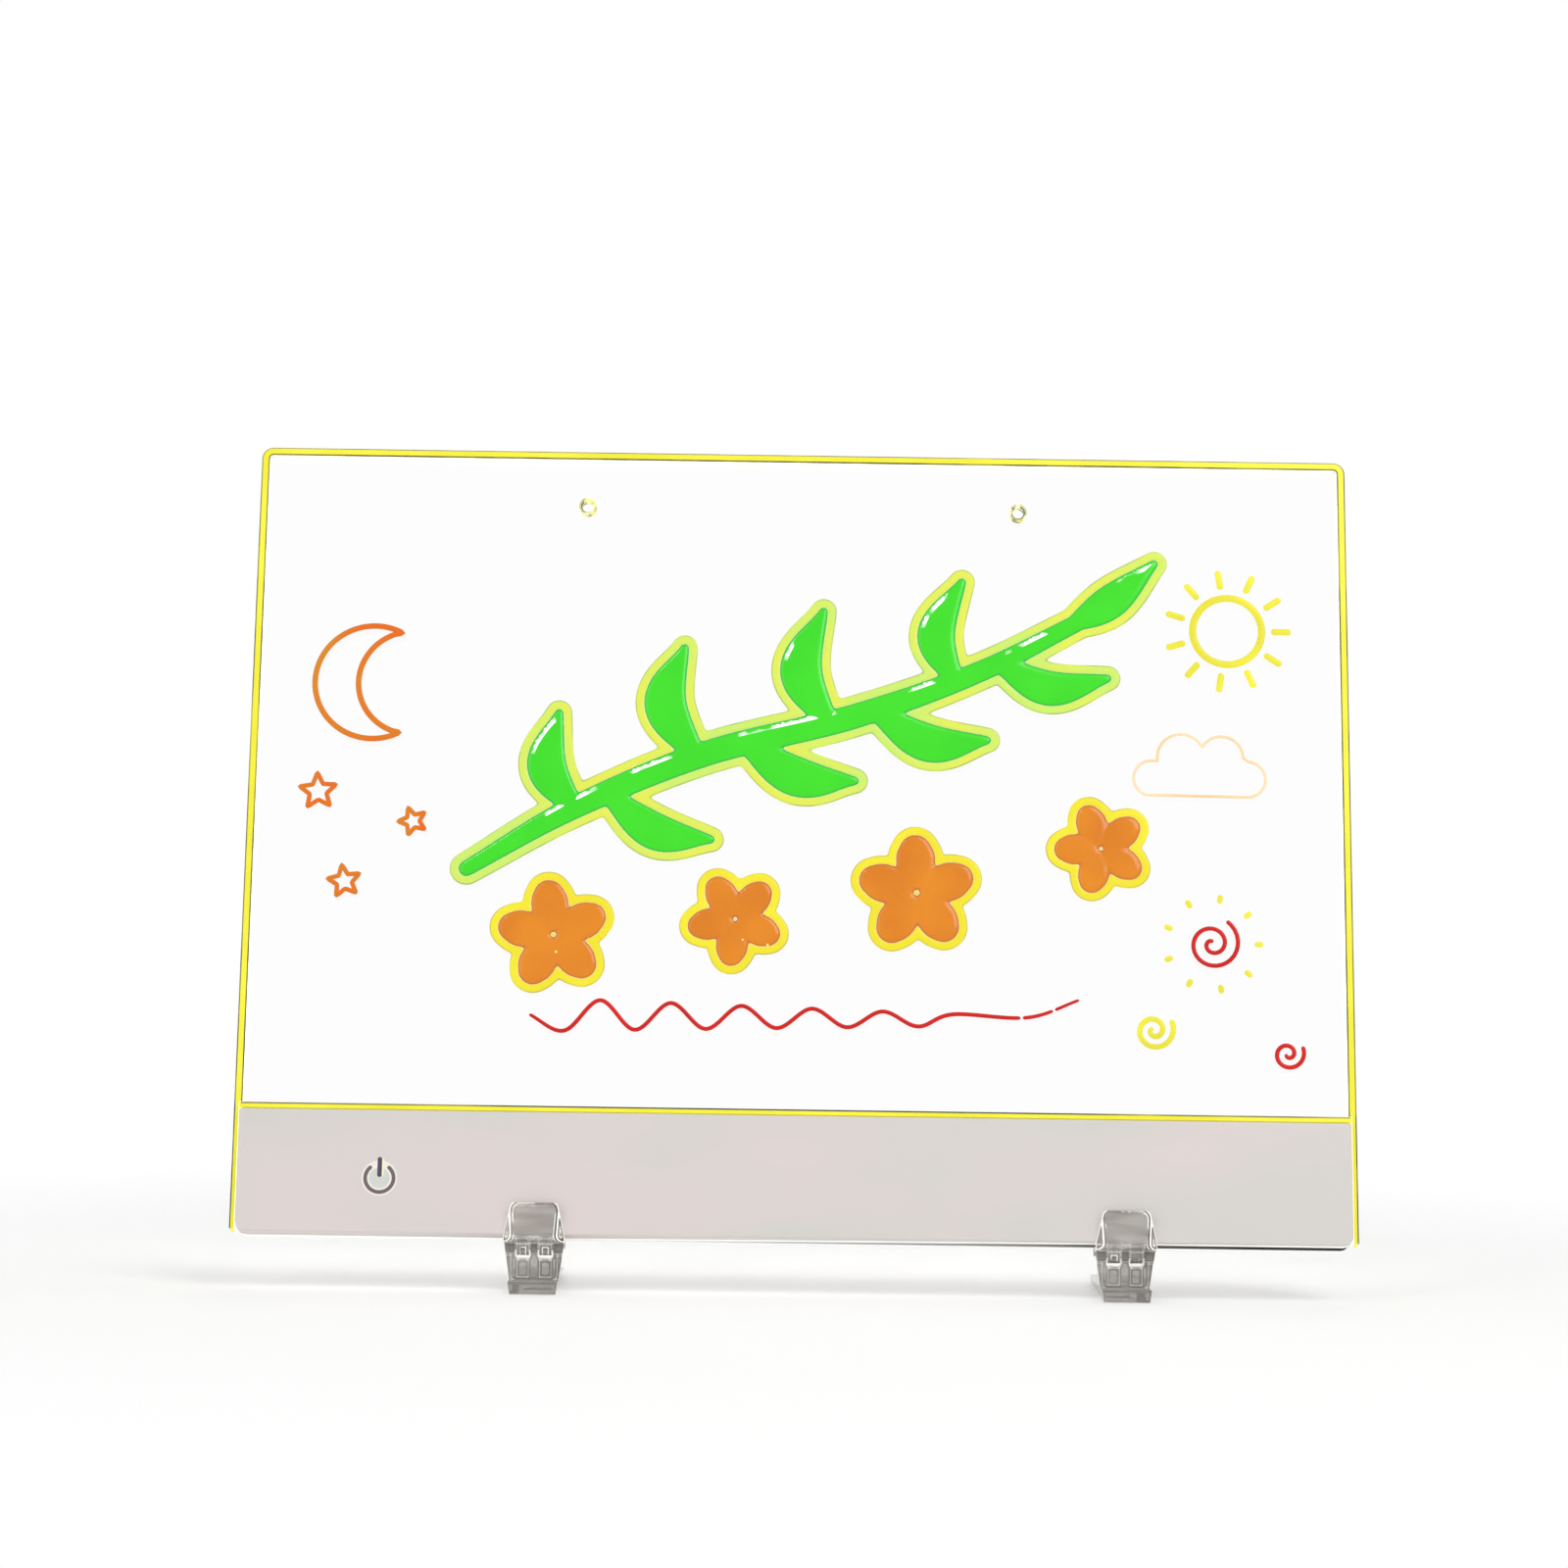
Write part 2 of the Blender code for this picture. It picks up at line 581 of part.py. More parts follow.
def lamps(frame, board_look, lamp_look):
    """Narrow circuit board with a row of lamps that shine up into the sheet."""
    half = LAMP_BOARD_WIDTH / 2
    finish(block("lamp_board", (-RAIL_HALF_LENGTH - LAMP_BOARD_TAIL, -half, LAMP_BOARD_BOTTOM),
                 (RAIL_HALF_LENGTH - LAMP_BOARD_TAIL, half, LAMP_BOARD_TOP)), frame, board_look)
    length = 2 * (RAIL_HALF_LENGTH - LAMP_BOARD_TAIL)
    for number in range(LAMP_COUNT):
        x = length * ((number + 0.5) / LAMP_COUNT - 0.5)
        finish(block(f"lamp_{number + 1:02d}",
                     (x - LAMP_LENGTH / 2, -LAMP_WIDTH / 2, LAMP_TOP - LAMP_HEIGHT),
                     (x + LAMP_LENGTH / 2, LAMP_WIDTH / 2, LAMP_TOP)), frame, lamp_look)


def touch_key(frame, looks):
    """Control board with the spring that feels the finger through the cover, and its lamp."""
    finish(block("control_board", (CONTROL_X, CONTROL_FRONT, CONTROL_BOTTOM),
                 (CONTROL_END, CONTROL_BACK, CONTROL_BOTTOM + CONTROL_HEIGHT)), frame, looks["board"])
    face = CONTROL_FRONT - BOND
    half = LAMP_WIDTH / 2
    finish(block("key_lamp", (KEY_X - half, face - LAMP_HEIGHT, KEY_HEIGHT - half),
                 (KEY_X + half, face, KEY_HEIGHT + half)), frame, looks["lamp"])
    chip_x = KEY_X + CHIP_SHIFT
    finish(block("control_chip", (chip_x - CHIP_LENGTH / 2, face - CHIP_HEIGHT, KEY_HEIGHT - CHIP_WIDTH / 2),
                 (chip_x + CHIP_LENGTH / 2, face, KEY_HEIGHT + CHIP_WIDTH / 2)), frame, looks["chip"])
    start = -INNER_HALF_DEPTH + GAP + SPRING_WIRE
    end = face - SPRING_WIRE
    steps = SPRING_TURNS * FINE_STEPS
    coil = []
    for step in range(steps + 1):
        x, z = on_circle((KEY_X, KEY_HEIGHT), SPRING_RADIUS, math.tau * step / FINE_STEPS)
        coil.append((x, start + (end - start) * step / steps, z))
    tube("touch_spring", coil, SPRING_WIRE, frame, looks["steel"])


def battery(frame, looks):
    """Flat cell stuck to the rear cover."""
    outline = rectangle(BATTERY_FRONT, BATTERY_BACK, BATTERY_BOTTOM,
                        BATTERY_BOTTOM + BATTERY_HEIGHT, BATTERY_CORNER)
    finish(prism("battery_cell", outline, "x", BATTERY_X, BATTERY_END), frame, looks["cell"])
    finish(block("battery_tape",
                 (BATTERY_X + TAPE_MARGIN, TAPE_BACK - TAPE_THICKNESS, BATTERY_MIDDLE - TAPE_HALF_HEIGHT),
                 (BATTERY_END - TAPE_MARGIN, TAPE_BACK, BATTERY_MIDDLE + TAPE_HALF_HEIGHT)),
           frame, looks["foam"])


def charger(frame, looks):
    """Board on the rear cover's shelf that carries the inlet."""
    finish(block("charging_board", (CHARGER_X, CHARGER_FRONT, CHARGER_BOTTOM),
                 (CHARGER_END, CHARGER_BACK, CHARGER_TOP)), frame, looks["board"])
    back = INLET_MOUTH - INLET_DEPTH
    socket = prism("usb_inlet", inlet_outline(0), "y", back, INLET_MOUTH)
    finish(socket, frame, looks["steel"], smooth=True)
    boolean(socket, prism("mouth_cutter", inlet_outline(-INLET_SHELL), "y",
                          back + INLET_BACK, INLET_MOUTH + OVERRUN))
    tongue = rectangle(INLET_X - INLET_TONGUE_WIDTH / 2, INLET_X + INLET_TONGUE_WIDTH / 2,
                       INLET_Z - INLET_TONGUE / 2, INLET_Z + INLET_TONGUE / 2)
    boolean(socket, prism("inlet_tongue", tongue, "y", back + INLET_BACK / 2,
                          INLET_MOUTH - INLET_TONGUE_SETBACK), "UNION")


def leads(frame, looks):
    """Three pairs of wires between the boards, the cell and the lamps."""
    lamp_tail = -RAIL_HALF_LENGTH - LAMP_BOARD_TAIL + LEAD_PITCH
    board_face = CONTROL_FRONT - BOND - LEAD_RADIUS
    charger_face = CHARGER_TOP + BOND + LEAD_RADIUS
    above_post = (POST_TOP + RAIL_BOTTOM) / 2
    for colour, side in (("red", 1), ("black", -1)):
        shift = side * LEAD_PITCH / 2
        control_top = CONTROL_BOTTOM + CONTROL_HEIGHT - LEAD_PITCH + shift
        under_tail = LAMP_BOARD_BOTTOM - BOND
        tube(f"lamp_lead_{colour}", smooth_route([
            (CONTROL_X + LEAD_PITCH, board_face, control_top - LEAD_PITCH),
            (CONTROL_X - LEAD_PITCH, board_face, control_top - LEAD_PITCH),
            (lamp_tail + LEAD_PITCH, shift, under_tail - 2 * LEAD_PITCH + shift),
            (lamp_tail, shift, under_tail)]), LEAD_RADIUS, frame, looks[colour])
        middle = (BATTERY_FRONT + BATTERY_BACK) / 2
        tube(f"battery_lead_{colour}", smooth_route([
            (BATTERY_END + BOND, middle, above_post + shift),
            (BATTERY_END + LEAD_PITCH, middle, above_post + shift),
            (THIRD_SCREW_X, middle, above_post + shift),
            (CHARGER_X - LEAD_PITCH, middle + shift, above_post + shift),
            (CHARGER_X + LEAD_PITCH / 2, CHARGER_FRONT + 2 * LEAD_PITCH + shift, charger_face)]),
             LEAD_RADIUS, frame, looks[colour])
        low = LEAD_FLOOR - shift
        tube(f"supply_lead_{colour}", smooth_route([
            (CHARGER_X + LEAD_PITCH + shift, CHARGER_FRONT + LEAD_PITCH / 2, CHARGER_BOTTOM - BOND),
            (CHARGER_X + shift, CHARGER_FRONT, low + LEAD_PITCH),
            (THIRD_SCREW_X, LEAD_FRONT, low),
            (BATTERY_X, LEAD_FRONT, low),
            (CONTROL_END + LEAD_PITCH, LEAD_FRONT, low),
            (CONTROL_END - LEAD_PITCH, board_face, CONTROL_BOTTOM + 2 * LEAD_PITCH - shift)]),
             LEAD_RADIUS, frame, looks[colour])


def screws(frame, look):
    """Screws in from the back, each head sunk in its post."""
    for number, x in enumerate(SCREW_PLACES, start=1):
        centre = (x, SCREW_Z)
        seat = HEAD_SEAT + BOND
        top = seat + SCREW_HEAD_HEIGHT
        rim = SCREW_HEAD_RADIUS - SCREW_HEAD_HEIGHT / 3
        screw = turned(f"cover_screw_{number}", [
            (seat - SCREW_LENGTH, SCREW_RADIUS / 2), (seat - SCREW_LENGTH + SCREW_RADIUS, SCREW_RADIUS),
            (seat, SCREW_RADIUS), (seat, SCREW_HEAD_RADIUS),
            (top - SCREW_HEAD_HEIGHT / 3, SCREW_HEAD_RADIUS), (top, rim)], centre, ROUND_SIDES // 2)
        finish(screw, frame, look, smooth=True)
        for across, up in ((SCREW_CROSS_LENGTH, SCREW_CROSS_WIDTH), (SCREW_CROSS_WIDTH, SCREW_CROSS_LENGTH)):
            bar = block("cross_cutter", (x - across / 2, top - SCREW_CROSS_DEPTH, SCREW_Z - up / 2),
                        (x + across / 2, top + OVERRUN, SCREW_Z + up / 2))
            boolean(screw, bar)


def facets(face_x, face_y, side_x, side_y, low, high):
    """Tools that slope the four upright edges, from each face's edge out to the sides."""
    run = Vector((side_x - face_x, side_y - face_y)).normalized() * OVERRUN
    out = Vector((-run.y, run.x))
    start = Vector((face_x, face_y)) - run
    end = Vector((side_x, side_y)) + run
    corners = (start, end, end + out, start + out)
    tools = []
    for across in (-1, 1):
        for deep in (-1, 1):
            outline = [(across * corner.x, deep * corner.y) for corner in corners]
            tools.append(prism("facet", outline, "z", low, high))
    return join_all("facet_cutters", tools)


def clip(name, frame, look):
    """Clear clip: two tapered lips, a web and two knuckles under it."""
    root = CLIP_INNER + LIP_ROOT
    tip = CLIP_INNER + LIP_TIP
    lead = CLIP_INNER + LIP_LEAD_IN
    lead_z = CLIP_TOP - LIP_LEAD_HEIGHT
    section = rounded([
        (-root, CLIP_UNDERSIDE, CLIP_CORNER), (root, CLIP_UNDERSIDE, CLIP_CORNER),
        (tip, CLIP_TOP, CLIP_FILLET), (lead, CLIP_TOP, 0), (CLIP_INNER, lead_z, 0),
        (CLIP_INNER, CLIP_FLOOR, CLIP_FILLET), (-CLIP_INNER, CLIP_FLOOR, CLIP_FILLET),
        (-CLIP_INNER, lead_z, 0), (-lead, CLIP_TOP, 0), (-tip, CLIP_TOP, CLIP_FILLET)])
    jaw = prism(name, section, "x", -CLIP_HALF_WIDTH - OVERRUN, CLIP_HALF_WIDTH + OVERRUN)
    finish(jaw, frame, look, smooth=True)
    face = rounded([
        (-CLIP_HALF_WIDTH, CLIP_UNDERSIDE - OVERRUN, 0), (CLIP_HALF_WIDTH, CLIP_UNDERSIDE - OVERRUN, 0),
        (CLIP_HALF_WIDTH, CLIP_FLOOR, 0), (LIP_TOP_HALF_WIDTH, CLIP_TOP, CLIP_CORNER),
        (-LIP_TOP_HALF_WIDTH, CLIP_TOP, CLIP_CORNER), (-CLIP_HALF_WIDTH, CLIP_FLOOR, 0)])
    reach = root + OVERRUN
    boolean(jaw, prism("clip_face", face, "y", -reach, reach), "INTERSECT")
    boolean(jaw, facets(LIP_TOP_HALF_WIDTH, root, CLIP_HALF_WIDTH, CLIP_INNER,
                        CLIP_UNDERSIDE - OVERRUN, CLIP_TOP + OVERRUN))
    notch = HINGE_RADIUS + GAP
    wide = CLIP_HALF_WIDTH + OVERRUN
    low = CLIP_UNDERSIDE - OVERRUN
    high = CLIP_FLOOR + GAP
    notches = [block("notch", (-KNUCKLE_START, -notch, low), (KNUCKLE_START, notch, high))]
    for side in (-1, 1):
        edges = sorted((side * KNUCKLE_END, side * wide))
        notches.append(block("notch", (edges[0], -notch, low), (edges[1], notch, high)))
    boolean(jaw, join_all("notch_cutters", notches))
    bearing = [(HINGE_RADIUS, CLIP_UNDERSIDE + CLIP_WEB / 2), (-HINGE_RADIUS, CLIP_UNDERSIDE + CLIP_WEB / 2)]
    bearing += arc((0, 0), HINGE_RADIUS, math.pi, math.tau)
    knuckles = [prism("knuckle", bearing, "x", side * KNUCKLE_START, side * KNUCKLE_END) for side in (-1, 1)]
    boolean(jaw, join_all("clip_knuckles", knuckles), "UNION")
    boolean(jaw, prism("clip_bore", circle((0, 0), BORE_RADIUS), "x", -wide, wide))


def foot(name, frame, look):
    """Clear foot: base plate, and a leg that ends in three ears round the clip's knuckles."""
    shoulder = math.acos(LEG_HALF_THICKNESS / HINGE_RADIUS)
    base_top = GROUND + FOOT_THICKNESS
    neck = -HINGE_RADIUS * math.sin(shoulder)
    section = rounded([
        (-LEG_HALF_THICKNESS, neck, 0), (-LEG_HALF_THICKNESS, base_top, LEG_FRONT_FILLET),
        (-FOOT_FRONT, base_top, FOOT_FRONT_CORNER), (-FOOT_FRONT, GROUND, 0),
        (FOOT_REAR, GROUND, 0), (FOOT_REAR, GROUND + FOOT_REAR_THICKNESS, FOOT_FRONT_CORNER),
        (LEG_HALF_THICKNESS, base_top, LEG_REAR_FILLET), (LEG_HALF_THICKNESS, neck, 0)])
    section += arc((0, 0), HINGE_RADIUS, -shoulder, math.pi + shoulder, 2 * FINE_STEPS)[1:-1]
    wide = CLIP_HALF_WIDTH + OVERRUN
    body = prism(name, section, "x", -wide, wide)
    finish(body, frame, look, smooth=True)
    low = GROUND - OVERRUN
    face = [(-FOOT_HALF_WIDTH, low), (FOOT_HALF_WIDTH, low), (FOOT_HALF_WIDTH, GROUND),
            (CLIP_HALF_WIDTH, HINGE_RADIUS), (CLIP_HALF_WIDTH, HINGE_RADIUS + OVERRUN),
            (-CLIP_HALF_WIDTH, HINGE_RADIUS + OVERRUN), (-CLIP_HALF_WIDTH, HINGE_RADIUS),
            (-FOOT_HALF_WIDTH, GROUND)]
    boolean(body, prism("foot_face", face, "y", -FOOT_FRONT - OVERRUN, FOOT_REAR + OVERRUN), "INTERSECT")
    plate_half = FOOT_HALF_WIDTH + (CLIP_HALF_WIDTH - FOOT_HALF_WIDTH) * FOOT_THICKNESS / (HINGE_RADIUS - GROUND)
    waist = FOOT_REAR / 2
    plan = rounded([
        (-wide, -FOOT_FRONT, 0), (wide, -FOOT_FRONT, 0), (wide, waist, 0), (plate_half, waist, 0),
        (plate_half, FOOT_REAR, FOOT_REAR_CORNER), (-plate_half, FOOT_REAR, FOOT_REAR_CORNER),
        (-plate_half, waist, 0), (-wide, waist, 0)])
    boolean(body, prism("foot_plan", plan, "z", low, HINGE_RADIUS + OVERRUN), "INTERSECT")
    boolean(body, facets(FOOT_HALF_WIDTH, LEG_HALF_THICKNESS, CLIP_HALF_WIDTH, 0, base_top, -HINGE_RADIUS))
    reach = HINGE_RADIUS + OVERRUN
    cuts = []
    for side in (-1, 1):
        ear = side * CENTRE_EAR_HALF
        end = side * (KNUCKLE_END + GAP)
        pocket = rounded([
            (ear, POCKET_BOTTOM, POCKET_CORNER), (end, POCKET_BOTTOM, POCKET_CORNER),
            (end, reach, 0), (ear, reach, 0)])
        cuts.append(prism("pocket", pocket, "y", -reach, reach))
        panel = rectangle(*sorted((ear + side * PANEL_MARGIN, end - side * PANEL_MARGIN)),
                          base_top + PANEL_MARGIN, POCKET_BOTTOM - PANEL_MARGIN)
        for face_side in (-1, 1):
            cuts.append(prism("panel", panel, "y", face_side * (LEG_HALF_THICKNESS + OVERRUN),
                              face_side * (LEG_HALF_THICKNESS - PANEL_DEPTH)))
    boolean(body, join_all("pocket_cutters", cuts))
    boolean(body, prism("foot_bore", circle((0, 0), BORE_RADIUS), "x", -wide, wide))


def hinge_pin(name, frame, look):
    half = CLIP_HALF_WIDTH - PIN_SETBACK
    pin = prism(name, circle((0, 0), PIN_RADIUS), "x", -half, half)
    finish(pin, frame, look, smooth=True)


def looks():
    """Finishes of the pieces."""
    return {
        "clear": material("clear_acrylic", (0.93, 0.95, 0.94), 0.03, alpha=0.15),
        "glow": material("yellow_rim", (0.93, 0.92, 0.05), 0.3, glow=0.6),
        "white": material("white_cover", (0.71, 0.66, 0.64), 0.45),
        "clip": material("clear_clip", (0.62, 0.61, 0.59), 0.08, alpha=0.3),
        "steel": material("bright_steel", (0.7, 0.7, 0.72), 0.3, metallic=1.0),
        "board": material("green_circuit_board", (0.03, 0.2, 0.09), 0.5),
        "rail": material("white_rail", (0.85, 0.85, 0.84), 0.4),
        "lamp": material("lamp_package", (0.95, 0.93, 0.6), 0.4, glow=0.5),
        "chip": material("black_chip", (0.02, 0.02, 0.02), 0.5),
        "cell": material("silver_cell", (0.55, 0.56, 0.58), 0.35, metallic=0.6),
        "foam": material("foam_tape", (0.75, 0.74, 0.7), 0.9),
        "red": material("red_wire", (0.6, 0.02, 0.02), 0.5),
        "black": material("black_wire", (0.02, 0.02, 0.02), 0.5),
    }


def main():
    clear_scene()
    look = looks()
    hinge = Vector((0, HINGE_Y, HINGE_HEIGHT))
    rise = Vector((0, math.sin(LEAN), math.cos(LEAN))) * HINGE_DROP
    board = empty("board_frame", hinge + rise, -LEAN)
    drawing_sheet(board, look["clear"])
    edge_rim(board, look["glow"])
    light_bar("front_light_bar", -1, board, look["glow"])
    light_bar("rear_light_bar", 1, board, look["glow"])
    front_cover(board, look["white"])
    rear_cover(board, look["white"])
    sheet_rail(board, look["rail"])
    lamps(board, look["board"], look["lamp"])
    touch_key(board, look)
    battery(board, look)
    charger(board, look)
    leads(board, look)
    screws(board, look["steel"])
    for side, x in (("left", LEFT_CLIP_X), ("right", RIGHT_CLIP_X)):
        axis = hinge + Vector((x, 0, 0))
        clip(f"{side}_clip", empty(f"{side}_clip_frame", axis, -LEAN), look["clip"])
        ground = empty(f"{side}_foot_frame", axis)
        foot(f"{side}_foot", ground, look["clip"])
        hinge_pin(f"{side}_hinge_pin", ground, look["steel"])


main()
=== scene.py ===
"""Dressed model of an edge-lit drawing board that stands on two clear clip-on feet.

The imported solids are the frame. Clear parts, rim, covers, screws and pins are finished
copies or new pieces in their place; the ink drawings and the key's print are added.
"""
import json
import math
from contextlib import contextmanager

import bmesh
import bpy
import numpy as np
from mathutils import Matrix, Vector


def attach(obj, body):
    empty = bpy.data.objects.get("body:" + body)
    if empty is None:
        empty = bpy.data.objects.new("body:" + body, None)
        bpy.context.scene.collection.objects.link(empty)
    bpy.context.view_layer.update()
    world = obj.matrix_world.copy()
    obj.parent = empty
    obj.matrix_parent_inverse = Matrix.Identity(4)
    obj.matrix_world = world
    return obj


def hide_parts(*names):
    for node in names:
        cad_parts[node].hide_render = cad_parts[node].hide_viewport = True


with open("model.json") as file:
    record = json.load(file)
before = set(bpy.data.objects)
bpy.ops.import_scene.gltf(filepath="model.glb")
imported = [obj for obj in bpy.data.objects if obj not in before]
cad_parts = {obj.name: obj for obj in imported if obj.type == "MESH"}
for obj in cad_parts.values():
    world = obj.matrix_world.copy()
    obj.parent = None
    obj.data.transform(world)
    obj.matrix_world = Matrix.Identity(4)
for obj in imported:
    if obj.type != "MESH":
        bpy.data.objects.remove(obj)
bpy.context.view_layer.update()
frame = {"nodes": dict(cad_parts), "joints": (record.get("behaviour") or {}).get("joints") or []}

MM = 0.001

# Board: its lean, and the drop from the hinge's axis to the strip's underside
LEAN = math.radians(14.4)
HINGE_DROP = 2.6 * MM
BOARD_HALF_WIDTH = 150 * MM
BOARD_HEIGHT = 218.8 * MM

# Clear sheet
SHEET_HALF_THICKNESS = 2 * MM
SHEET_HALF_WIDTH = 148.4 * MM
SHEET_TOP = 217.2 * MM
SHEET_SHOULDER = 33.2 * MM
SHEET_BOTTOM = 24.9 * MM
TONGUE_HALF_WIDTH = 146.6 * MM
SHEET_CORNER = 1.6 * MM
SHEET_EDGE = 0.15 * MM
HOLE_X = 59.5 * MM
HOLE_HEIGHT = 203.5 * MM
HOLE_RADIUS = 1.6 * MM
HOLE_CHAMFER = 0.8 * MM
HOLE_SIDES = 64

# Yellow channel round the sheet
RIM_WALL = 1.3 * MM
RIM_FACE = 2.2 * MM
RIM_HALF_DEPTH = 3.2 * MM
RIM_SLOT_HALF = 2.3 * MM
RIM_CORNER = 3.2 * MM
RIM_LEG_BOTTOM = 35 * MM
RIM_END = 0.8 * MM
RIM_CHAMFER = 0.38 * MM
BAR_CHAMFER = 0.5 * MM

# Strip's front face and the touch key on it
STRIP_FACE = 5 * MM
STRIP_EDGE = 0.45 * MM
KEY_X = -110.4 * MM
KEY_HEIGHT = 14.5 * MM
KEY_RING_RADIUS = 3.77 * MM
KEY_STROKE = 1.0 * MM
KEY_BAR_WIDTH = 1.2 * MM
KEY_BAR_LOW = 0.27 * MM
KEY_BAR_HIGH = 5.65 * MM
KEY_HALF_GAP = 34

# Cover screws in the strip's back
SCREW_PLACES = tuple(x * MM for x in (-140.9, -71.4, 10.6, 91.75, 140.9))
SCREW_HEIGHT = 10.85 * MM
SCREW_SEAT = 3.1 * MM
SCREW_LENGTH = 5.2 * MM
SCREW_NECK = 0.3 * MM
SCREW_CORE = 0.58 * MM
SCREW_THREAD = 0.22 * MM
SCREW_PITCH = 0.7 * MM
SCREW_TIP = 1.2 * MM
SCREW_TIP_SHARE = 0.35
SCREW_HEAD = 1.3 * MM
SCREW_RIM = 0.75 * MM
SCREW_HEAD_RADIUS = 1.9 * MM
SCREW_SIDES = 20
# Rings of the mesh in one turn of the thread
SCREW_STEPS = 10
RECESS_REACH = 1.0 * MM
RECESS_HALF_SLOT = 0.25 * MM
RECESS_DEPTH = 0.6 * MM

# Clear clips and feet, and their pins
CLIP_X = {"left": -69 * MM, "right": 88 * MM}
CLIP_HALF_WIDTH = 8.1 * MM
CLEAR_MESH = 0.8 * MM
CLEAR_CUTS = 6
# Height, just under the strip's front, below which the clear parts' painted lines of highlight and shade are
# fainter
LINES_FADE = 13 * MM
PIN_EDGE = 0.15 * MM

# Reach, in mm, of a place with no hard edge near
FAR_OFF = 9.0

# Ink: the gap beneath it, then, in mm like the drawings, its layers, steps and bands
INK_GAP = 0.02 * MM
INK_THICKNESS = 0.2
STROKE_STEP = 0.5
PEN_STEP = 0.4
FINE_STEP = 0.15
RAY_STEP = 0.2
PRINT_THICKNESS = 0.05
GREEN_BAND = 2.4
ORANGE_BAND = 2.3
PUDDLE_LIP = 0.06
PUDDLE_CELL = 0.5
FILL_HEIGHT = 0.6
FILL_SHOULDER = 2.2
BAND_HEIGHT = 0.22
BAND_SHOULDER = 0.5
BAND_GAP = 0.06
# Strength of its own light, and how blunt a stroke's tips are, from 0 to 1
INK_GLOW = 0.42
PEN_TIP = 0.03
# Direction on the board that the puffed ink's painted highlights face
PAINTED_GLINT_SIDE = (-0.55, 0.83)

# Hard edges, merged points and the cutting tools' reach past a face
SHARP = math.radians(35)
FLAT = math.radians(0.5)
BROAD_FACE = 20 * MM * MM
MERGE = 0.001 * MM
OVERRUN = 2 * MM

# Room and camera. A lamp has its name, place, size in metres and power in watts
ROOM_LIGHT = 0.45
FLOOR_RADIUS = 4.0
FLOOR_DROP = 0.2 * MM
FADE_START = 0.16
FADE_END = 0.42
LAMPS = (
    ("key_light", (0.75, -0.95, 1.15), 0.9, 9.4), ("fill_light", (-1.1, -0.9, 0.7), 1.2, 4.3),
    ("back_light", (0.2, 1.2, 1.1), 1.2, 3.6), ("glint_light", (-0.62, -0.8, 1.3), 0.12, 1.2))
LAMPS_AIM = Vector((0, 0, 0.1))
CAMERA_LENS = 103.89
CAMERA_OFFSET = Vector((-10.67, -1203.393, 121.453)) * MM
CAMERA_YAW = math.radians(-0.296)
CAMERA_ROLL = math.radians(0.828)

hinge = next(joint["pos_m"] for joint in frame["joints"] if joint["name"] == "left_foot_hinge")
BOARD_ORIGIN = Vector((0, hinge[1], hinge[2])) + HINGE_DROP * Vector((0, math.sin(LEAN), math.cos(LEAN)))
BOARD = Matrix.Translation(BOARD_ORIGIN) @ Matrix.Rotation(-LEAN, 4, "X")
# A drawing's x runs right, its y up the board and its z towards the viewer
DRAWING = BOARD @ Matrix.Rotation(math.pi / 2, 4, "X")


def colour(code):
    """Linear colour of an sRGB hex value."""
    parts = [int(code[place:place + 2], 16) / 255 for place in (1, 3, 5)]
    return tuple(c / 12.92 if c <= 0.04045 else ((c + 0.055) / 1.055) ** 2.4 for c in parts) + (1.0,)


def feed(tree, node, sockets):
    """Fills a node's inputs, by name or in order, with values, hex colours, outputs or nodes to link."""
    for key, value in sockets.items() if isinstance(sockets, dict) else enumerate(sockets):
        if isinstance(value, bpy.types.Node):
            value = next(output for output in value.outputs if output.enabled)
        if isinstance(value, bpy.types.NodeSocket):
            tree.links.new(value, node.inputs[key])
        else:
            node.inputs[key].default_value = colour(value) if isinstance(value, str) else value


def add(tree, kind, sockets=(), **settings):
    """Adds a node, a shader node's kind named without ShaderNode. Settings are its own properties, and
    sockets what its inputs get."""
    node = tree.nodes.new(kind if "Node" in kind else f"ShaderNode{kind}")
    for name, value in settings.items():
        setattr(node, name, value)
    feed(tree, node, sockets)
    return node


def material(name, **sockets):
    """New material with one Principled shader, whose sockets are named with _ for a space."""
    made = bpy.data.materials.new(name)
    made.use_nodes = True
    shader = made.node_tree.nodes["Principled BSDF"]
    feed(made.node_tree, shader, {key.replace("_", " "): value for key, value in sockets.items()})
    return made, made.node_tree, shader


# Places and patterns

def board_place(tree):
    """Place on the board in mm: x across, y through it to the back, z up it."""
    turn = Matrix.Rotation(LEAN, 3, "X")
    return add(tree, "Mapping", {
        "Vector": add(tree, "TexCoord").outputs["Object"],
        "Location": -(turn @ BOARD_ORIGIN) / MM, "Rotation": (LEAN, 0, 0), "Scale": (1 / MM,) * 3})


def way_from(tree, place, x, z):
    """Way in mm, along the board's face, from a point on it."""
    offset = add(tree, "VectorMath", (place, (x / MM, 0, z / MM)), operation="SUBTRACT")
    return add(tree, "VectorMath", (offset, (1, 0, 1)), operation="MULTIPLY")


def where(tree, *steps):
    """Share from 0 to 1 that is full where every step is. A step is a share, or (value, number at which its
    share is empty, number at which it is full), and may end with the share's own lowest and highest
    number."""
    share = None
    for step in steps:
        if isinstance(step, tuple):
            step = add(tree, "MapRange", step)
        share = step if share is None else add(tree, "Math", (share, step), operation="MULTIPLY")
    return share


def patches(tree, place, scale, low, high, detail=2.0):
    """Share in cloudy patches, harder at their edges the closer low and high lie. Scale is in marks per
    mm."""
    cloud = add(tree, "TexNoise", {"Vector": place, "Scale": scale, "Detail": detail})
    return where(tree, (cloud, low, high))


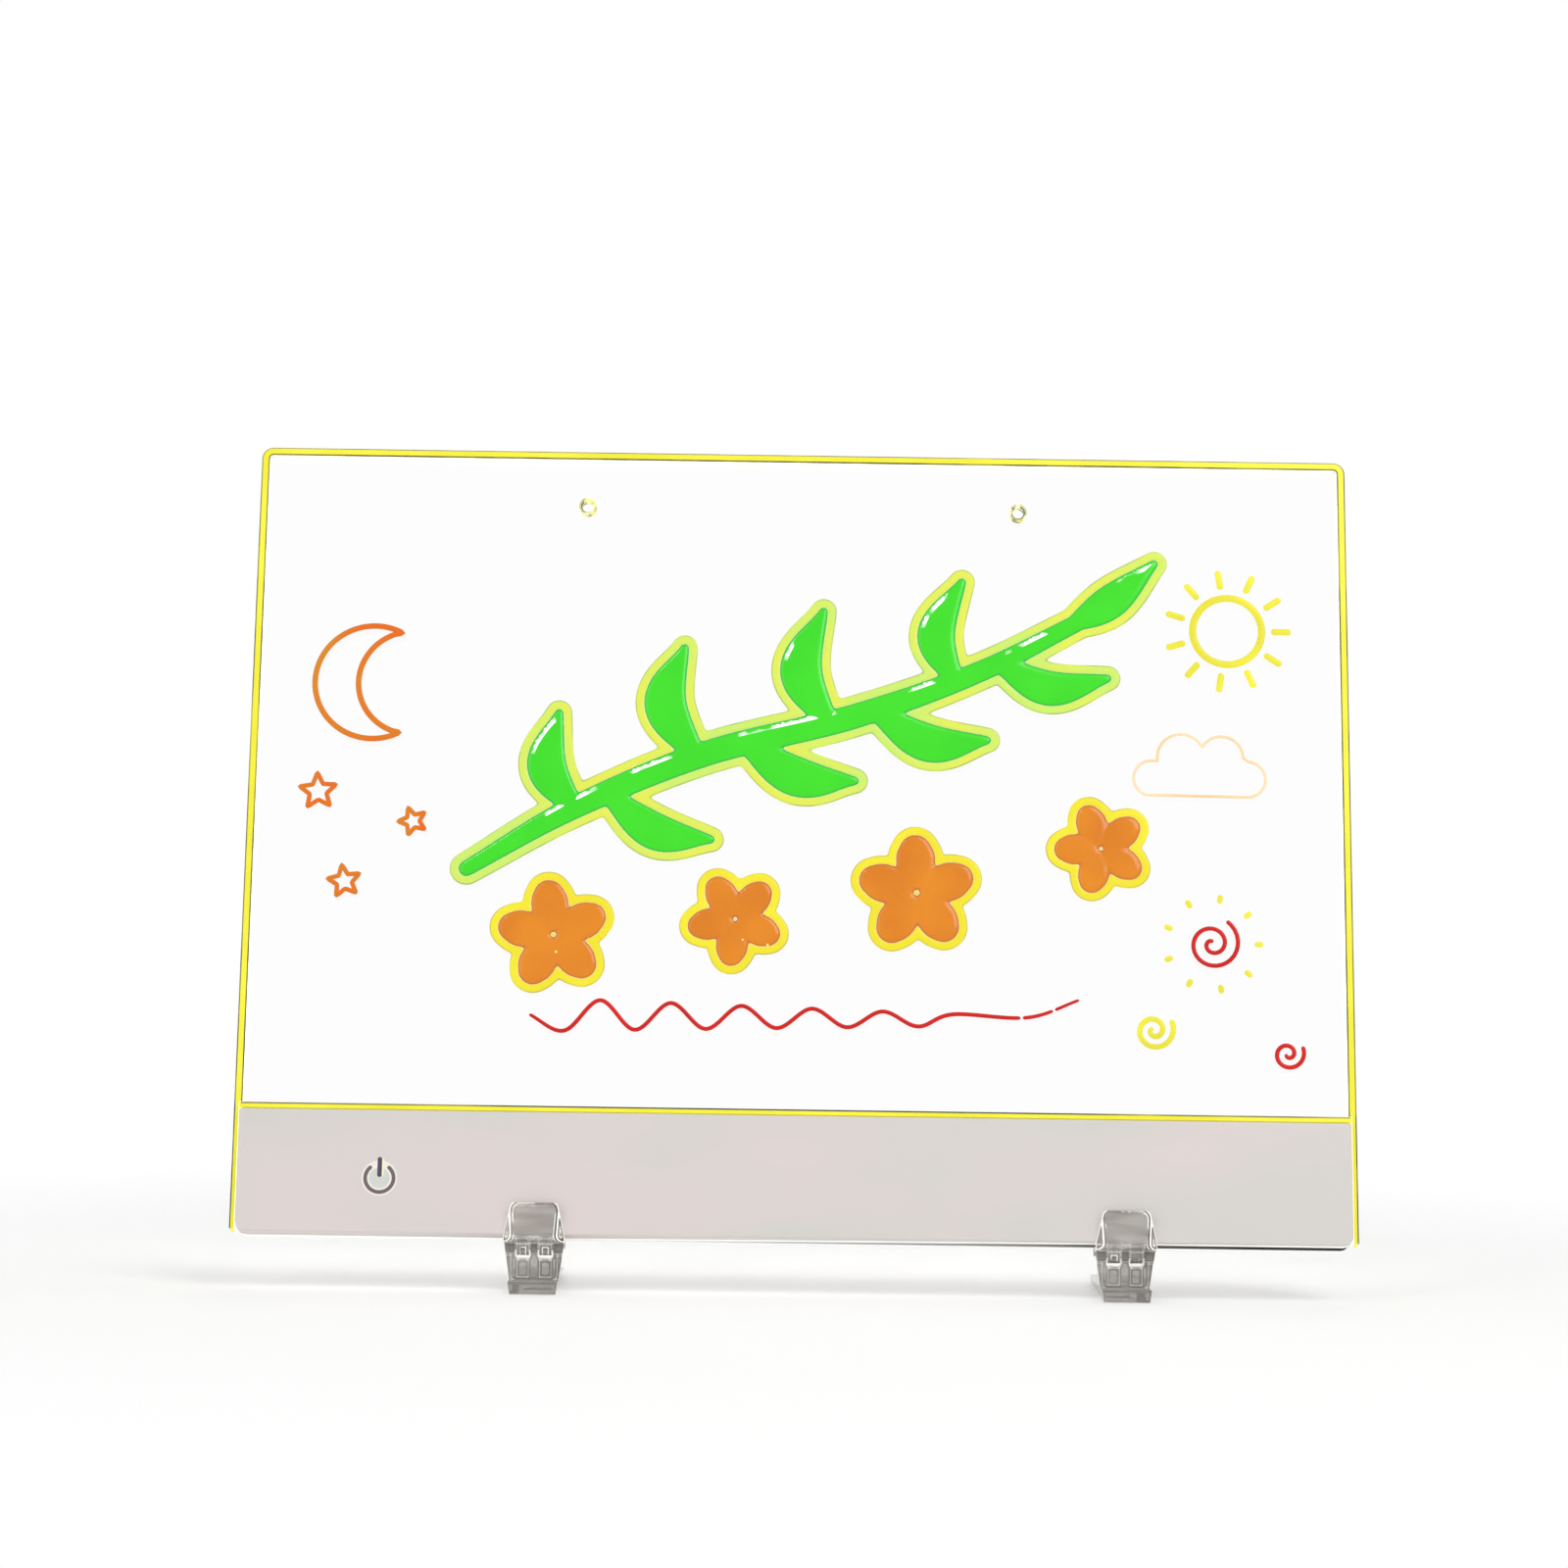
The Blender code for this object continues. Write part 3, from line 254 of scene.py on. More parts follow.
def coats(tree, shade, *layers):
    """Colour under layers of others, each given as the share that is laid on and its colour."""
    for share, over in layers:
        shade = add(tree, "Mix", {0: share, 6: shade, 7: over}, data_type="RGBA")
    return shade


def grained(tree, shader, place, scale, detail, strength, depth):
    """Gives a skin a fine relief this many mm deep, and returns its pattern. Scale is in grains per mm."""
    grain = add(tree, "TexNoise", {"Vector": place, "Scale": scale, "Detail": detail})
    bump = add(tree, "Bump", {"Height": grain, "Strength": strength, "Distance": depth * MM})
    feed(tree, shader, {"Normal": bump})
    return grain


def let_light_through(tree, shader, share):
    """A clear part's shadow is only faint: this share of the lamps' light goes straight through it."""
    passed = where(tree, add(tree, "LightPath").outputs["Is Shadow Ray"], share)
    mixed = add(tree, "MixShader", (passed, shader, add(tree, "BsdfTransparent")))
    feed(tree, tree.nodes["Material Output"], {"Surface": mixed})


# Finishes

def cast_acrylic():
    """Cast acrylic sheet, flame-polished: optically clear. The bevels of its two hanging holes catch the
    lamps' light and glow pale yellow, with olive patches along the rings' inner and outer edges, where the
    glow is left out."""
    made, tree, shader = material("cast_acrylic", Roughness=0.0, IOR=1.49)
    place = board_place(tree)
    folded = add(tree, "VectorMath", {0: place}, operation="ABSOLUTE")
    reach = add(tree, "VectorMath", {0: way_from(tree, folded, HOLE_X, HOLE_HEIGHT)}, operation="LENGTH")
    bore = HOLE_RADIUS / MM
    edge = bore + HOLE_CHAMFER / MM
    ring = where(tree, (reach, edge + 0.02, edge - 0.1), (reach, bore - 0.1, bore - 0.02))
    brims = add(tree, "Math", {
        0: where(tree, (reach, edge - 0.3, edge - 0.2)), 1: where(tree, (reach, bore + 0.45, bore + 0.35))},
        operation="MAXIMUM")
    olive_patches = where(tree, patches(tree, place, 0.4, 0.5, 0.54), ring, brims)
    glow = coats(tree, "#f0efb4", (patches(tree, place, 0.35, 0.42, 0.58), "#e2df66"))
    feed(tree, shader, {
        "Base Color": coats(tree, "#fdfdfd", (ring, coats(tree, glow, (olive_patches, "#5f5c2c")))),
        "Transmission Weight": where(tree, (ring, 0.0, 1.0, 1.0, 0.25)),
        "Emission Color": glow,
        "Emission Strength": where(tree, (olive_patches, 0.0, 1.0, 0.35, 0.0), ring)})
    let_light_through(tree, shader, 0.9)
    return made


def glowing_edge():
    """Fluorescent yellow acrylic, extruded and lit from within: even saturated yellow, a little paler where
    more of the lamps' light arrives."""
    made, tree, shader = material("fluorescent_yellow_acrylic", Roughness=0.3, IOR=1.49,
                                  Emission_Strength=0.5)
    place = add(tree, "Mapping", {"Vector": board_place(tree), "Scale": (0.05, 0.5, 0.05)})
    shade = coats(tree, "#cbc520", (patches(tree, place, 1.0, 0.35, 0.65, 3.0), "#d3ce30"))
    feed(tree, shader, {"Base Color": shade, "Emission Color": shade})
    return made


def painted_shade_line(name, light, glow, dark, low, high, middle=None, legs=None):
    """Chamfered edge of the yellow acrylic, painted as a thin olive line of shade, broken where the channel's
    glow spills over it. With middle, the painted line is darkest within that many mm of the board's middle.
    With legs, it has dark dashes of painted shadow below that height in mm, where the strip shades it."""
    made, tree, shader = material(name, Roughness=0.35, IOR=1.49)
    place = board_place(tree)
    spot = add(tree, "SeparateXYZ", {0: place}).outputs
    moved = add(tree, "Mapping", {"Vector": place, "Location": (31, 0, 7)})
    share = patches(tree, moved, 0.022, low, high)
    if middle:
        across = add(tree, "Math", {0: spot["X"]}, operation="ABSOLUTE")
        centre = where(tree, (across, middle * 1.25, middle))
        share = add(tree, "Math", (where(tree, share, 0.6), centre), operation="MAXIMUM")
    line = coats(tree, light, (share, coats(tree, dark, (patches(tree, place, 0.12, 0.4, 0.6), glow))))
    if legs:
        # Painted shadow of the strip: dark dashes on the legs
        dashes = where(tree, (spot["Z"], legs, legs - 2), patches(tree, place, 0.06, 0.44, 0.48))
        line = coats(tree, line, (dashes, "#38341b"))
        share = add(tree, "Math", (share, dashes), operation="MAXIMUM")
    glow_share = where(tree, (share, 0.0, 1.0, 0.4, 0.0))
    feed(tree, shader, {"Base Color": line, "Emission Color": line, "Emission Strength": glow_share})
    return made


def moulded_abs():
    """Injection-moulded ABS, spark-eroded satin: pinkish white with cloudy warm and cool patches. A band of
    light is painted along its lower edge, with painted shade behind it on the underside, and pale lines, a
    tint and a yellow glow round the touch key's sign are painted light."""
    made, tree, shader = material("satin_white_abs", IOR=1.53, Emission_Color="#fffdf6")
    place = board_place(tree)
    spot = add(tree, "SeparateXYZ", {0: place}).outputs
    clouds = add(tree, "Mapping", {"Vector": place, "Scale": (0.012, 0.03, 0.03)})

    # The key's painted light shows on the front face only: pale lines round the sign, a tint inside the ring
    # and a yellow glow beside the bar
    front = where(tree, (spot["Y"], 0.6 - STRIP_FACE / MM, 0.3 - STRIP_FACE / MM))
    offset = way_from(tree, place, KEY_X, KEY_HEIGHT)
    reach = add(tree, "VectorMath", {0: offset}, operation="LENGTH")
    key = add(tree, "SeparateXYZ", {0: offset}).outputs
    inner, outer = ((KEY_RING_RADIUS + side * KEY_STROKE / 2) / MM for side in (-1, 1))
    painted_halo = where(tree, front, (reach, outer + 0.65, outer + 0.3, 0.0, 0.85))
    painted_glow_in_ring = where(tree, front, (reach, inner - 0.35, inner - 0.7))
    beside = where(tree, front, (key["X"], 0.5, 0.6), (key["X"], 1.25, 0.95), (key["Z"], 0.4, 0.9),
                   (key["Z"], 5.5, 5.0))

    # On the underside a painted band of light and a band of painted shade behind it, the joint, widen from
    # left to right
    under = where(tree, (spot["Z"], STRIP_EDGE / MM + 0.1, STRIP_EDGE / MM - 0.1))
    bands = []
    for ends in ((2.2, -2.8), (4.0, -0.6)):
        start = where(tree, (spot["X"], -85.0, 75.0, *ends))
        behind = add(tree, "Math", (spot["Y"], start), operation="SUBTRACT")
        bands.append(where(tree, under, (behind, -0.3, 0.3)))
    painted_light_band = bands[0]
    joint = where(tree, bands[1], (spot["X"], -95.0, 120.0))
    # The joint here is painted shade, not a real dark seam
    feed(tree, shader, {
        "Base Color": coats(
            tree, "#ddd2cf", (patches(tree, clouds, 1.0, 0.4, 0.6), "#d4d1cd"), (painted_halo, "#f6f1ea"),
            (painted_glow_in_ring, "#d3d6cf"), (beside, "#fbfac0"), (painted_light_band, "#fbf9f4"), (joint, "#0c0807")),
        "Roughness": where(tree, (joint, 0.0, 0.5, 0.42, 1.0)),
        "Emission Strength": where(tree, painted_light_band, (joint, 0.0, 0.4, 0.35, 0.0))})
    # The real grain is about 0.1 mm; it is drawn at 0.4 mm so that it shows
    grained(tree, shader, place, 2.4, 3.0, 0.12, 0.03)
    return made


def clear_polycarbonate(name, light, dark, through, line, inner, low_share, passed):
    """Clear polycarbonate, injection-moulded: glass-clear plastic that looks greyish where it is thick, with
    faint flow lines in its skin. Bright lines of painted highlight run along its edges, with painted lines of
    shade beside them. Through is the share of its look that is what lies behind it, line the painted bright
    lines' half width in mm, and inner says how often a second painted bright line runs inside the dark one.
    Low share says how far the painted lines stand out under the strip, and passed how much of the lamps'
    light goes straight through."""
    made, tree, shader = material(name, Roughness=0.02, IOR=1.45, Emission_Color="#fffdf8")
    place = add(tree, "TexCoord").outputs["Object"]
    rippled = add(tree, "Mapping", {"Vector": place, "Scale": (0.5, 1.0, 2.4)})
    flow = add(tree, "TexNoise", {"Vector": rippled, "Scale": 0.16 / MM, "Detail": 3.0, "Distortion": 0.6})
    bump = add(tree, "Bump", {"Height": flow, "Strength": 0.15, "Distance": 0.05 * MM})

    reach, depth = (add(tree, "Attribute", attribute_name=label).outputs["Fac"]
                    for label in ("reach", "depth"))
    height = add(tree, "SeparateXYZ", {0: place}).outputs["Z"]
    strength = where(tree, (height, LINES_FADE - MM, LINES_FADE + MM, low_share, 1.0))
    bright = where(tree, (reach, line + 0.05, line - 0.05), strength)
    broken = (patches(tree, place, 0.25 / MM, 0.35, 0.6), 0.0, 1.0, 0.5, 1.0)
    # Painted shade: dark lines beside the painted highlights, deeper where depth says
    beside = where(tree, (reach, line - 0.02, line + 0.08), (reach, line + 0.55, line + 0.35), depth, broken,
                   (strength, 0.0, 1.0, 0.4, 1.0))
    second_painted_highlight = where(tree, (reach, line + 0.42, line + 0.55), (reach, line + 0.85, line + 0.72),
                  patches(tree, place, 0.16 / MM, inner, inner + 0.06), 0.75)
    painted_highlights = add(tree, "Math", (bright, second_painted_highlight), operation="MAXIMUM")
    marks = add(tree, "Math", (painted_highlights, where(tree, beside, 0.75)), operation="MAXIMUM")
    feed(tree, shader, {
        "Base Color": coats(tree, light, (where(tree, (flow, 0.35, 0.65)), dark), (beside, "#3f3834"),
                            (painted_highlights, "#f6f4ef")),
        "Transmission Weight": where(tree, (marks, 0.0, 1.0, through, 0.15)),
        "Emission Strength": where(tree, painted_highlights, 0.3), "Normal": bump})
    let_light_through(tree, shader, passed)
    return made


def steel(name, code, roughness, grain_mm):
    """Steel, drawn or turned: bright, with fine marks left by the tool."""
    made, tree, shader = material(name, Base_Color=code, Metallic=1.0)
    place = add(tree, "TexCoord").outputs["Object"]
    marks = grained(tree, shader, place, 1 / (grain_mm * MM), 3.0, 0.2, 0.01)
    feed(tree, shader, {"Roughness": where(tree, (marks, 0.0, 1.0, roughness - 0.08, roughness + 0.12))})
    return made


def fine_grained(name, light, dark, roughness, grain_mm, bump_mm=0.02, **sockets):
    """A plain finish: two close tones and a fine surface grain."""
    made, tree, shader = material(name, Roughness=roughness, **sockets)
    place = add(tree, "TexCoord").outputs["Object"]
    grain = grained(tree, shader, place, 1 / (grain_mm * MM), 4.0, 0.3, bump_mm)
    feed(tree, shader, {"Base Color": coats(tree, light, (grain, dark))})
    return made


def ink(name, light, dark, scale, spread, over=None, **sockets):
    """Fluorescent marker ink, dried glossy in slight waves: it shines in its own colour, in two tones as the
    pen went over it twice. Over adds what lies on these tones."""
    made, tree, shader = material(name, Emission_Strength=INK_GLOW, Specular_IOR_Level=0.3, **sockets)
    place = board_place(tree)
    shade = coats(tree, light, (patches(tree, place, scale, 0.5 - spread, 0.5 + spread), dark))
    if over:
        reach = add(tree, "Attribute", attribute_name="reach").outputs["Fac"]
        shade = over(tree, place, reach, shade)
    feed(tree, shader, {"Base Color": shade, "Emission Color": shade})
    grained(tree, shader, place, 0.6, 2.0, 0.15, 0.1)
    return made


def pen_ink(name, light, dark):
    """Marker ink in a thin line."""
    return ink(name, light, dark, 0.05, 0.12, Roughness=0.3)


def gel_ink(name, light, dark, edge, painted_glints=False, bubbles=False):
    """Gel ink, laid thick: even bright colour with a thin darker line where it thins out. Glints are painted
    highlights, white, on its upper left shoulders, and bubbles a few small pale ones in it."""
    def over(tree, place, reach, shade):
        shade = coats(tree, shade, (where(tree, (reach, -0.55, -0.2, 0.0, 0.8)), edge))
        if painted_glints:
            # Painted highlight: white on the upper left shoulders
            ragged = where(tree, patches(tree, place, 0.9, 0.3, 0.7), 0.7)
            frayed = add(tree, "Math", (reach, ragged), operation="ADD")
            moved = add(tree, "Mapping", {"Vector": place, "Location": (9, 0, 4)})
            facing = add(tree, "Attribute", attribute_name="facing").outputs["Fac"]
            band = where(tree, (frayed, -0.35, -0.5), (reach, -1.75, -1.6), (facing, 0.72, 0.82),
                         patches(tree, moved, 0.06, 0.52, 0.55))
            shade = coats(tree, shade, (band, "#ffffff"))
        if bubbles:
            scale = 0.14
            cells = add(tree, "TexVoronoi", {"Vector": place, "Scale": scale})
            chosen = add(tree, "SeparateColor", {0: cells.outputs["Color"]})
            dots = where(tree, (cells.outputs["Distance"], 0.36 * scale, 0.22 * scale), (chosen, 0.68, 0.7))
            shade = coats(tree, shade, (dots, "#f6e89a"))
        return shade
    return ink(name, light, dark, 0.05, 0.12, over, Roughness=0.2, Coat_Weight=0.2, Coat_Roughness=0.05)


def band_ink(name, light, dark, line, width):
    """Marker ink of the band round a gel drawing, this many mm wide: it dried with a thin olive line at its
    outer edge."""
    def over(tree, place, reach, shade):
        dried = where(tree, (reach, width - 0.42, width - 0.22), patches(tree, place, 0.1, 0.3, 0.6), 0.8)
        return coats(tree, shade, (dried, line))
    return ink(name, light, dark, 0.03, 0.08, over, Roughness=0.35)


# The inks' and the rim's colours are written darker than they look, because their own glow comes on top
LOOKS = {
    "sheet": cast_acrylic(),
    "rim": glowing_edge(),
    "rim_line": painted_shade_line("cut_rim_edge", "#aaa43c", "#8f8946", "#615c35", 0.32, 0.46, legs=36.0),
    "bar_line": painted_shade_line("cut_bar_edge", "#a39d3a", "#453f22", "#1f1b10", 0.42, 0.54, middle=78.0),
    # Inside of the channel's slot, which lies in shade: painted nearly white, with a glow of its own
    "rim_slot": fine_grained("washed_out_acrylic", "#f7f6dc", "#fbfaf0", 0.3, 0.8, Emission_Strength=0.8,
                             Emission_Color="#fbfae8"),
    "cover": moulded_abs(),
    "clear_clip": clear_polycarbonate("clear_polycarbonate_clip", "#e6e4e0", "#c9c6c1", through=0.8,
                                      line=0.26, inner=0.46, low_share=0.25, passed=0.55),
    "clear_foot": clear_polycarbonate("clear_polycarbonate_foot", "#c6c3be", "#b8b4af", through=0.7,
                                      line=0.09, inner=1.0, low_share=0.35, passed=0.75),
    "pin": steel("bright_drawn_steel", "#c9c9cb", 0.22, 0.3),
    "screw": steel("zinc_plated_steel", "#b9bcc0", 0.3, 0.2),
    "green": gel_ink("green_gel_ink", "#30c212", "#2bbd0e", "#2a9a3a", painted_glints=True),
    "green_band": band_ink("lime_marker_ink", "#b1cd5c", "#c4cc48", "#8a9a58", GREEN_BAND),
    "orange": gel_ink("orange_gel_ink", "#c87608", "#be6a02", "#ad621f", bubbles=True),
    "orange_band": band_ink("yellow_marker_ink", "#d5cb2a", "#d0c424", "#a69a52", ORANGE_BAND),
    "orange_line": pen_ink("orange_pen_ink", "#c55c08", "#bd7216"),
    "yellow_line": pen_ink("yellow_pen_ink", "#d8d236", "#c9c22e"),
    "red_line": pen_ink("red_pen_ink", "#b81208", "#ac0d06"),
    "pale_line": pen_ink("pale_orange_pen_ink", "#dcc49c", "#d9b483"),
    "key_ring": fine_grained("brown_grey_print", "#726560", "#645853", 0.45, 0.4),
    "key_bar": fine_grained("plum_print", "#4f3f60", "#453552", 0.45, 0.4),
    # Polished circuit laminate under green solder resist
    "circuit_board": fine_grained("solder_resist", "#1f7a45", "#175f36", 0.35, 0.6),
    # Filled white polycarbonate, which throws the lamps' light back
    "white_rail": fine_grained("reflector_white", "#f2f2ef", "#e6e6e2", 0.5, 0.8),
    # Lamp package: white body with phosphor gel
    "lamp_package": fine_grained("phosphor_gel", "#f7f0a2", "#efe27c", 0.35, 0.3, Emission_Strength=0.3,
                                 Emission_Color="#fbf6b8"),
    "black_chip": fine_grained("moulded_epoxy", "#232325", "#18181a", 0.55, 0.1),
    "bright_steel": steel("stamped_bright_steel", "#cfd0d2", 0.24, 0.25),
    # Pouch cell in aluminium laminate
    "silver_cell": fine_grained("pouch_foil", "#c4c6c9", "#b2b4b8", 0.34, 1.5, 0.1, Metallic=0.85),
    "foam_tape": fine_grained("foam_tape", "#d8d5cb", "#c9c5ba", 0.9, 0.3, 0.08),
    "red_wire": fine_grained("red_pvc", "#b3211c", "#a01a16", 0.4, 0.5),
    "black_wire": fine_grained("black_pvc", "#1d1d1f", "#141416", 0.4, 0.5),
}


# Mesh tools

def mesh_of(name, bm):
    mesh = bpy.data.meshes.new(name)
    bm.to_mesh(mesh)
    bm.free()
    return mesh


@contextmanager
def editing(mesh):
    """Opens a mesh for bmesh operators and writes it back."""
    bm = bmesh.new()
    bm.from_mesh(mesh)
    yield bm
    bm.to_mesh(mesh)
    bm.free()


def in_scene(name, data):
    obj = bpy.data.objects.new(name, data)
    bpy.context.scene.collection.objects.link(obj)
    return obj


def evaluated(obj):
    """Mesh of an object with its modifiers applied, the object itself gone."""
    mesh = bpy.data.meshes.new_from_object(obj.evaluated_get(bpy.context.evaluated_depsgraph_get()))
    data = obj.data
    bpy.data.objects.remove(obj)
    (bpy.data.meshes if isinstance(data, bpy.types.Mesh) else bpy.data.curves).remove(data)
    return mesh


def piece(name, mesh, body, looks=(), replaces=(), soft=True):
    """Makes a mesh one piece of the board, riding on a body. Soft pieces are shaded smoothly over their
    blunt edges, except beside broad faces, so that these look flat."""
    with editing(mesh) as bm:
        bmesh.ops.remove_doubles(bm, verts=bm.verts, dist=MERGE)
        bmesh.ops.recalc_face_normals(bm, faces=bm.faces)
        for edge in bm.edges:
            narrow = all(face.calc_area() < BROAD_FACE for face in edge.link_faces)
            edge.smooth = soft and narrow and edge.calc_face_angle(0) < SHARP
        for face in bm.faces:
            face.smooth = soft
    mesh.name = name
    for look in looks:
        if LOOKS[look].name not in mesh.materials:
            mesh.materials.append(LOOKS[look])
    obj = in_scene(name, mesh)
    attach(obj, body)
    if replaces:
        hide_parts(*replaces)
    return obj


def ray(angle):
    """Vector of length 1 in a drawing's plane."""
    return Vector((math.cos(angle), math.sin(angle)))


def arched(half_width, low, high, radius, steps):
    """Open outline up the right side, round two corners of this radius and down the left side."""
    centre = Vector((half_width - radius, high - radius))
    corner = [tuple(centre + radius * ray(math.pi / 2 * step / steps)) for step in range(steps + 1)]
    right = [(half_width, low), *corner]
    return right + [(-x, y) for x, y in reversed(right)]


def prism(outline, low, high):
    """Outline in a drawing's plane, extruded from one height to another."""
    bm = bmesh.new()
    face = bm.faces.new([bm.verts.new((x, y, low)) for x, y in outline])
    grown_parts = bmesh.ops.extrude_face_region(bm, geom=[face])["geom"]
    top = [part for part in grown_parts if isinstance(part, bmesh.types.BMVert)]
    bmesh.ops.translate(bm, vec=(0, 0, high - low), verts=top)
    bmesh.ops.recalc_face_normals(bm, faces=bm.faces)
    return bm


def block(half_width, half_height, low, high):
    """Upright box round the middle of a drawing."""
    corners = [(-half_width, -half_height), (half_width, -half_height), (half_width, half_height),
               (-half_width, half_height)]
    return prism(corners, low, high)


def turned(rings, centre=(0, 0)):
    """Closed solid along a drawing's z through rings, each given as its height and its radius on every
    side."""
    bm = bmesh.new()
    loops = []
    for z, radii in rings:
        offsets = [radius * ray(math.tau * side / len(radii)) for side, radius in enumerate(radii)]
        loops.append([bm.verts.new((*(Vector(centre) + offset), z)) for offset in offsets])
    for near, far in zip(loops, loops[1:]):
        for side in range(len(near)):
            bm.faces.new((near[side - 1], near[side], far[side], far[side - 1]))
    bm.faces.new(loops[0])
    bm.faces.new(loops[-1])
    bmesh.ops.recalc_face_normals(bm, faces=bm.faces)
    return bm


def cut(mesh, *tools):
    """Mesh with closed tools cut out of it."""
    obj = in_scene("cut", mesh)
    shapes = [in_scene("tool", mesh_of("tool", tool)) for tool in tools]
    for shape in shapes:
        obj.modifiers.new("cut", "BOOLEAN").object = shape
    result = evaluated(obj)
    for shape in shapes:
        bpy.data.objects.remove(shape)
    return result


def softened(mesh, width):
    """Rounds every hard edge of a mesh."""
    obj = in_scene("softened", mesh)
    change = obj.modifiers.new("edges", "BEVEL")
    change.width = width
    change.segments = 2
    change.limit_method = "ANGLE"
    change.angle_limit = SHARP
    return evaluated(obj)


def copy_of(node):
    """A CAD node's mesh as whole flat faces."""
    mesh = frame["nodes"][node].data.copy()
    mesh.materials.clear()
    with editing(mesh) as bm:
        bmesh.ops.remove_doubles(bm, verts=bm.verts, dist=MERGE)
        bmesh.ops.dissolve_limit(bm, angle_limit=FLAT, verts=bm.verts, edges=bm.edges)
    return mesh


def with_edge_marks(mesh, middle):
    """Cuts a clear part's faces fine enough to keep at each vertex how far the nearest hard edge is, as reach
    in mm, and how dark the painted shade lines beside it are, as depth: darker to the right of the part's
    middle, the side away from the glint lamp."""
    with editing(mesh) as bm:
        hard = [[np.array(v.co) / MM for v in edge.verts]
                for edge in bm.edges if edge.calc_face_angle(0) > SHARP]
        for _ in range(CLEAR_CUTS):
            bmesh.ops.triangulate(bm, faces=bm.faces[:])
            long_edges = [edge for edge in bm.edges if edge.calc_length() > CLEAR_MESH]
            bmesh.ops.subdivide_edges(bm, edges=long_edges, cuts=1)
        bmesh.ops.triangulate(bm, faces=bm.faces[:])
        places = np.array([v.co[:] for v in bm.verts]) / MM
        reach = np.full(len(places), FAR_OFF)
        for start, end in hard:
            run = end - start
            share = np.clip((places - start) @ run / (run @ run), 0, 1)
            reach = np.minimum(reach, np.linalg.norm(places - start - share[:, None] * run, axis=1))
        depth = np.clip(0.75 + 0.35 * (places[:, 0] - middle / MM) / (CLIP_HALF_WIDTH / MM), 0, 1)
        for label, values in (("reach", reach), ("depth", depth)):
            mark = bm.verts.layers.float.new(label)
            for vertex, value in zip(bm.verts, values):
                vertex[mark] = value
    return mesh


# Geometry Nodes

def new_tree(name, *inputs):
    """Geometry Nodes tree that takes these named inputs (name, socket type) and gives one mesh."""
    tree = bpy.data.node_groups.new(name, "GeometryNodeTree")
    for label, kind in inputs:
        tree.interface.new_socket(label, in_out="INPUT", socket_type=f"NodeSocket{kind}")
    tree.interface.new_socket("Mesh", in_out="OUTPUT", socket_type="NodeSocketGeometry")
    return tree, add(tree, "NodeGroupInput").outputs


def close_tree(tree, geometry, look):
    """Ends a tree: real geometry in one material."""
    real = add(tree, "GeometryNodeRealizeInstances", {0: geometry})
    painted = add(tree, "GeometryNodeSetMaterial", {"Geometry": real, "Material": look})
    add(tree, "NodeGroupOutput", {0: painted})
    return tree


def grown(source, tree, **values):
    """The plain mesh that a tree makes of an object."""
    change = source.modifiers.new(tree.name, "NODES")
    change.node_group = tree
    for item in tree.interface.items_tree:
        key = item.name.lower().replace(" ", "_")
        if item.in_out == "INPUT" and key in values:
            change[item.identifier] = values[key]
    return evaluated(source)


def pen_tree():
    """Lays ink along curves: a flat half round, as wide as the pen times the curve's radius, with round
    ends."""
    tree, given = new_tree("pen_stroke", ("Strokes", "Geometry"), ("Width", "Float"), ("Thickness", "Float"),
                           ("Step", "Float"), ("Round Ends", "Float"), ("Ink", "Material"))
    points = add(tree, "GeometryNodeResampleCurve", {"Curve": given["Strokes"], "Length": given["Step"]},
                 mode="LENGTH")
    upright = add(tree, "GeometryNodeSetCurveNormal", {"Curve": points}, mode="Z_UP")
    # The ends are half circles, cut off just before they would be points
    run = add(tree, "GeometryNodeSplineParameter").outputs["Length"]
    whole = add(tree, "GeometryNodeSplineLength").outputs["Length"]
    left = add(tree, "Math", (whole, run), operation="SUBTRACT")
    nearer = add(tree, "Math", (run, left), operation="MINIMUM")
    half = add(tree, "Math", (given["Width"], 0.5), operation="MULTIPLY")
    share = add(tree, "Math", (nearer, half), operation="DIVIDE", use_clamp=True)
    beyond = add(tree, "Math", (2.0, share), operation="SUBTRACT")
    square = add(tree, "Math", (share, beyond, PEN_TIP), operation="MULTIPLY_ADD")
    end = add(tree, "Math", {0: square}, operation="SQRT", use_clamp=True)
    shaped = add(tree, "Mix", {0: given["Round Ends"], 2: 1.0, 3: end}, data_type="FLOAT")
    radius = add(tree, "GeometryNodeInputRadius")
    pressed = add(tree, "Math", (radius, shaped), operation="MULTIPLY")
    arch = add(tree, "GeometryNodeCurveArc", {
        "Resolution": 9, "Radius": 1.0, "Start Angle": math.pi, "Sweep Angle": math.pi,
        "Connect Center": True}, mode="RADIUS")
    size = add(tree, "CombineXYZ", {"X": half, "Y": given["Thickness"], "Z": 1.0})
    profile = add(tree, "GeometryNodeTransform", {"Geometry": arch, "Scale": size})
    swept = add(tree, "GeometryNodeCurveToMesh", {
        "Curve": upright, "Profile Curve": profile, "Scale": pressed, "Fill Caps": True})
    return close_tree(tree, swept, given["Ink"])


def channel_tree():
    """Bends a channel's section along the board's outline."""
    tree, given = new_tree("edge_channel", ("Outline", "Geometry"), ("Section", "Object"),
                           ("Look", "Material"))
    section = add(tree, "GeometryNodeObjectInfo", {"Object": given["Section"]})
    upright = add(tree, "GeometryNodeSetCurveNormal", {"Curve": given["Outline"]}, mode="Z_UP")
    swept = add(tree, "GeometryNodeCurveToMesh", {
        "Curve": upright, "Profile Curve": section.outputs["Geometry"], "Fill Caps": True})
    return close_tree(tree, swept, given["Look"])


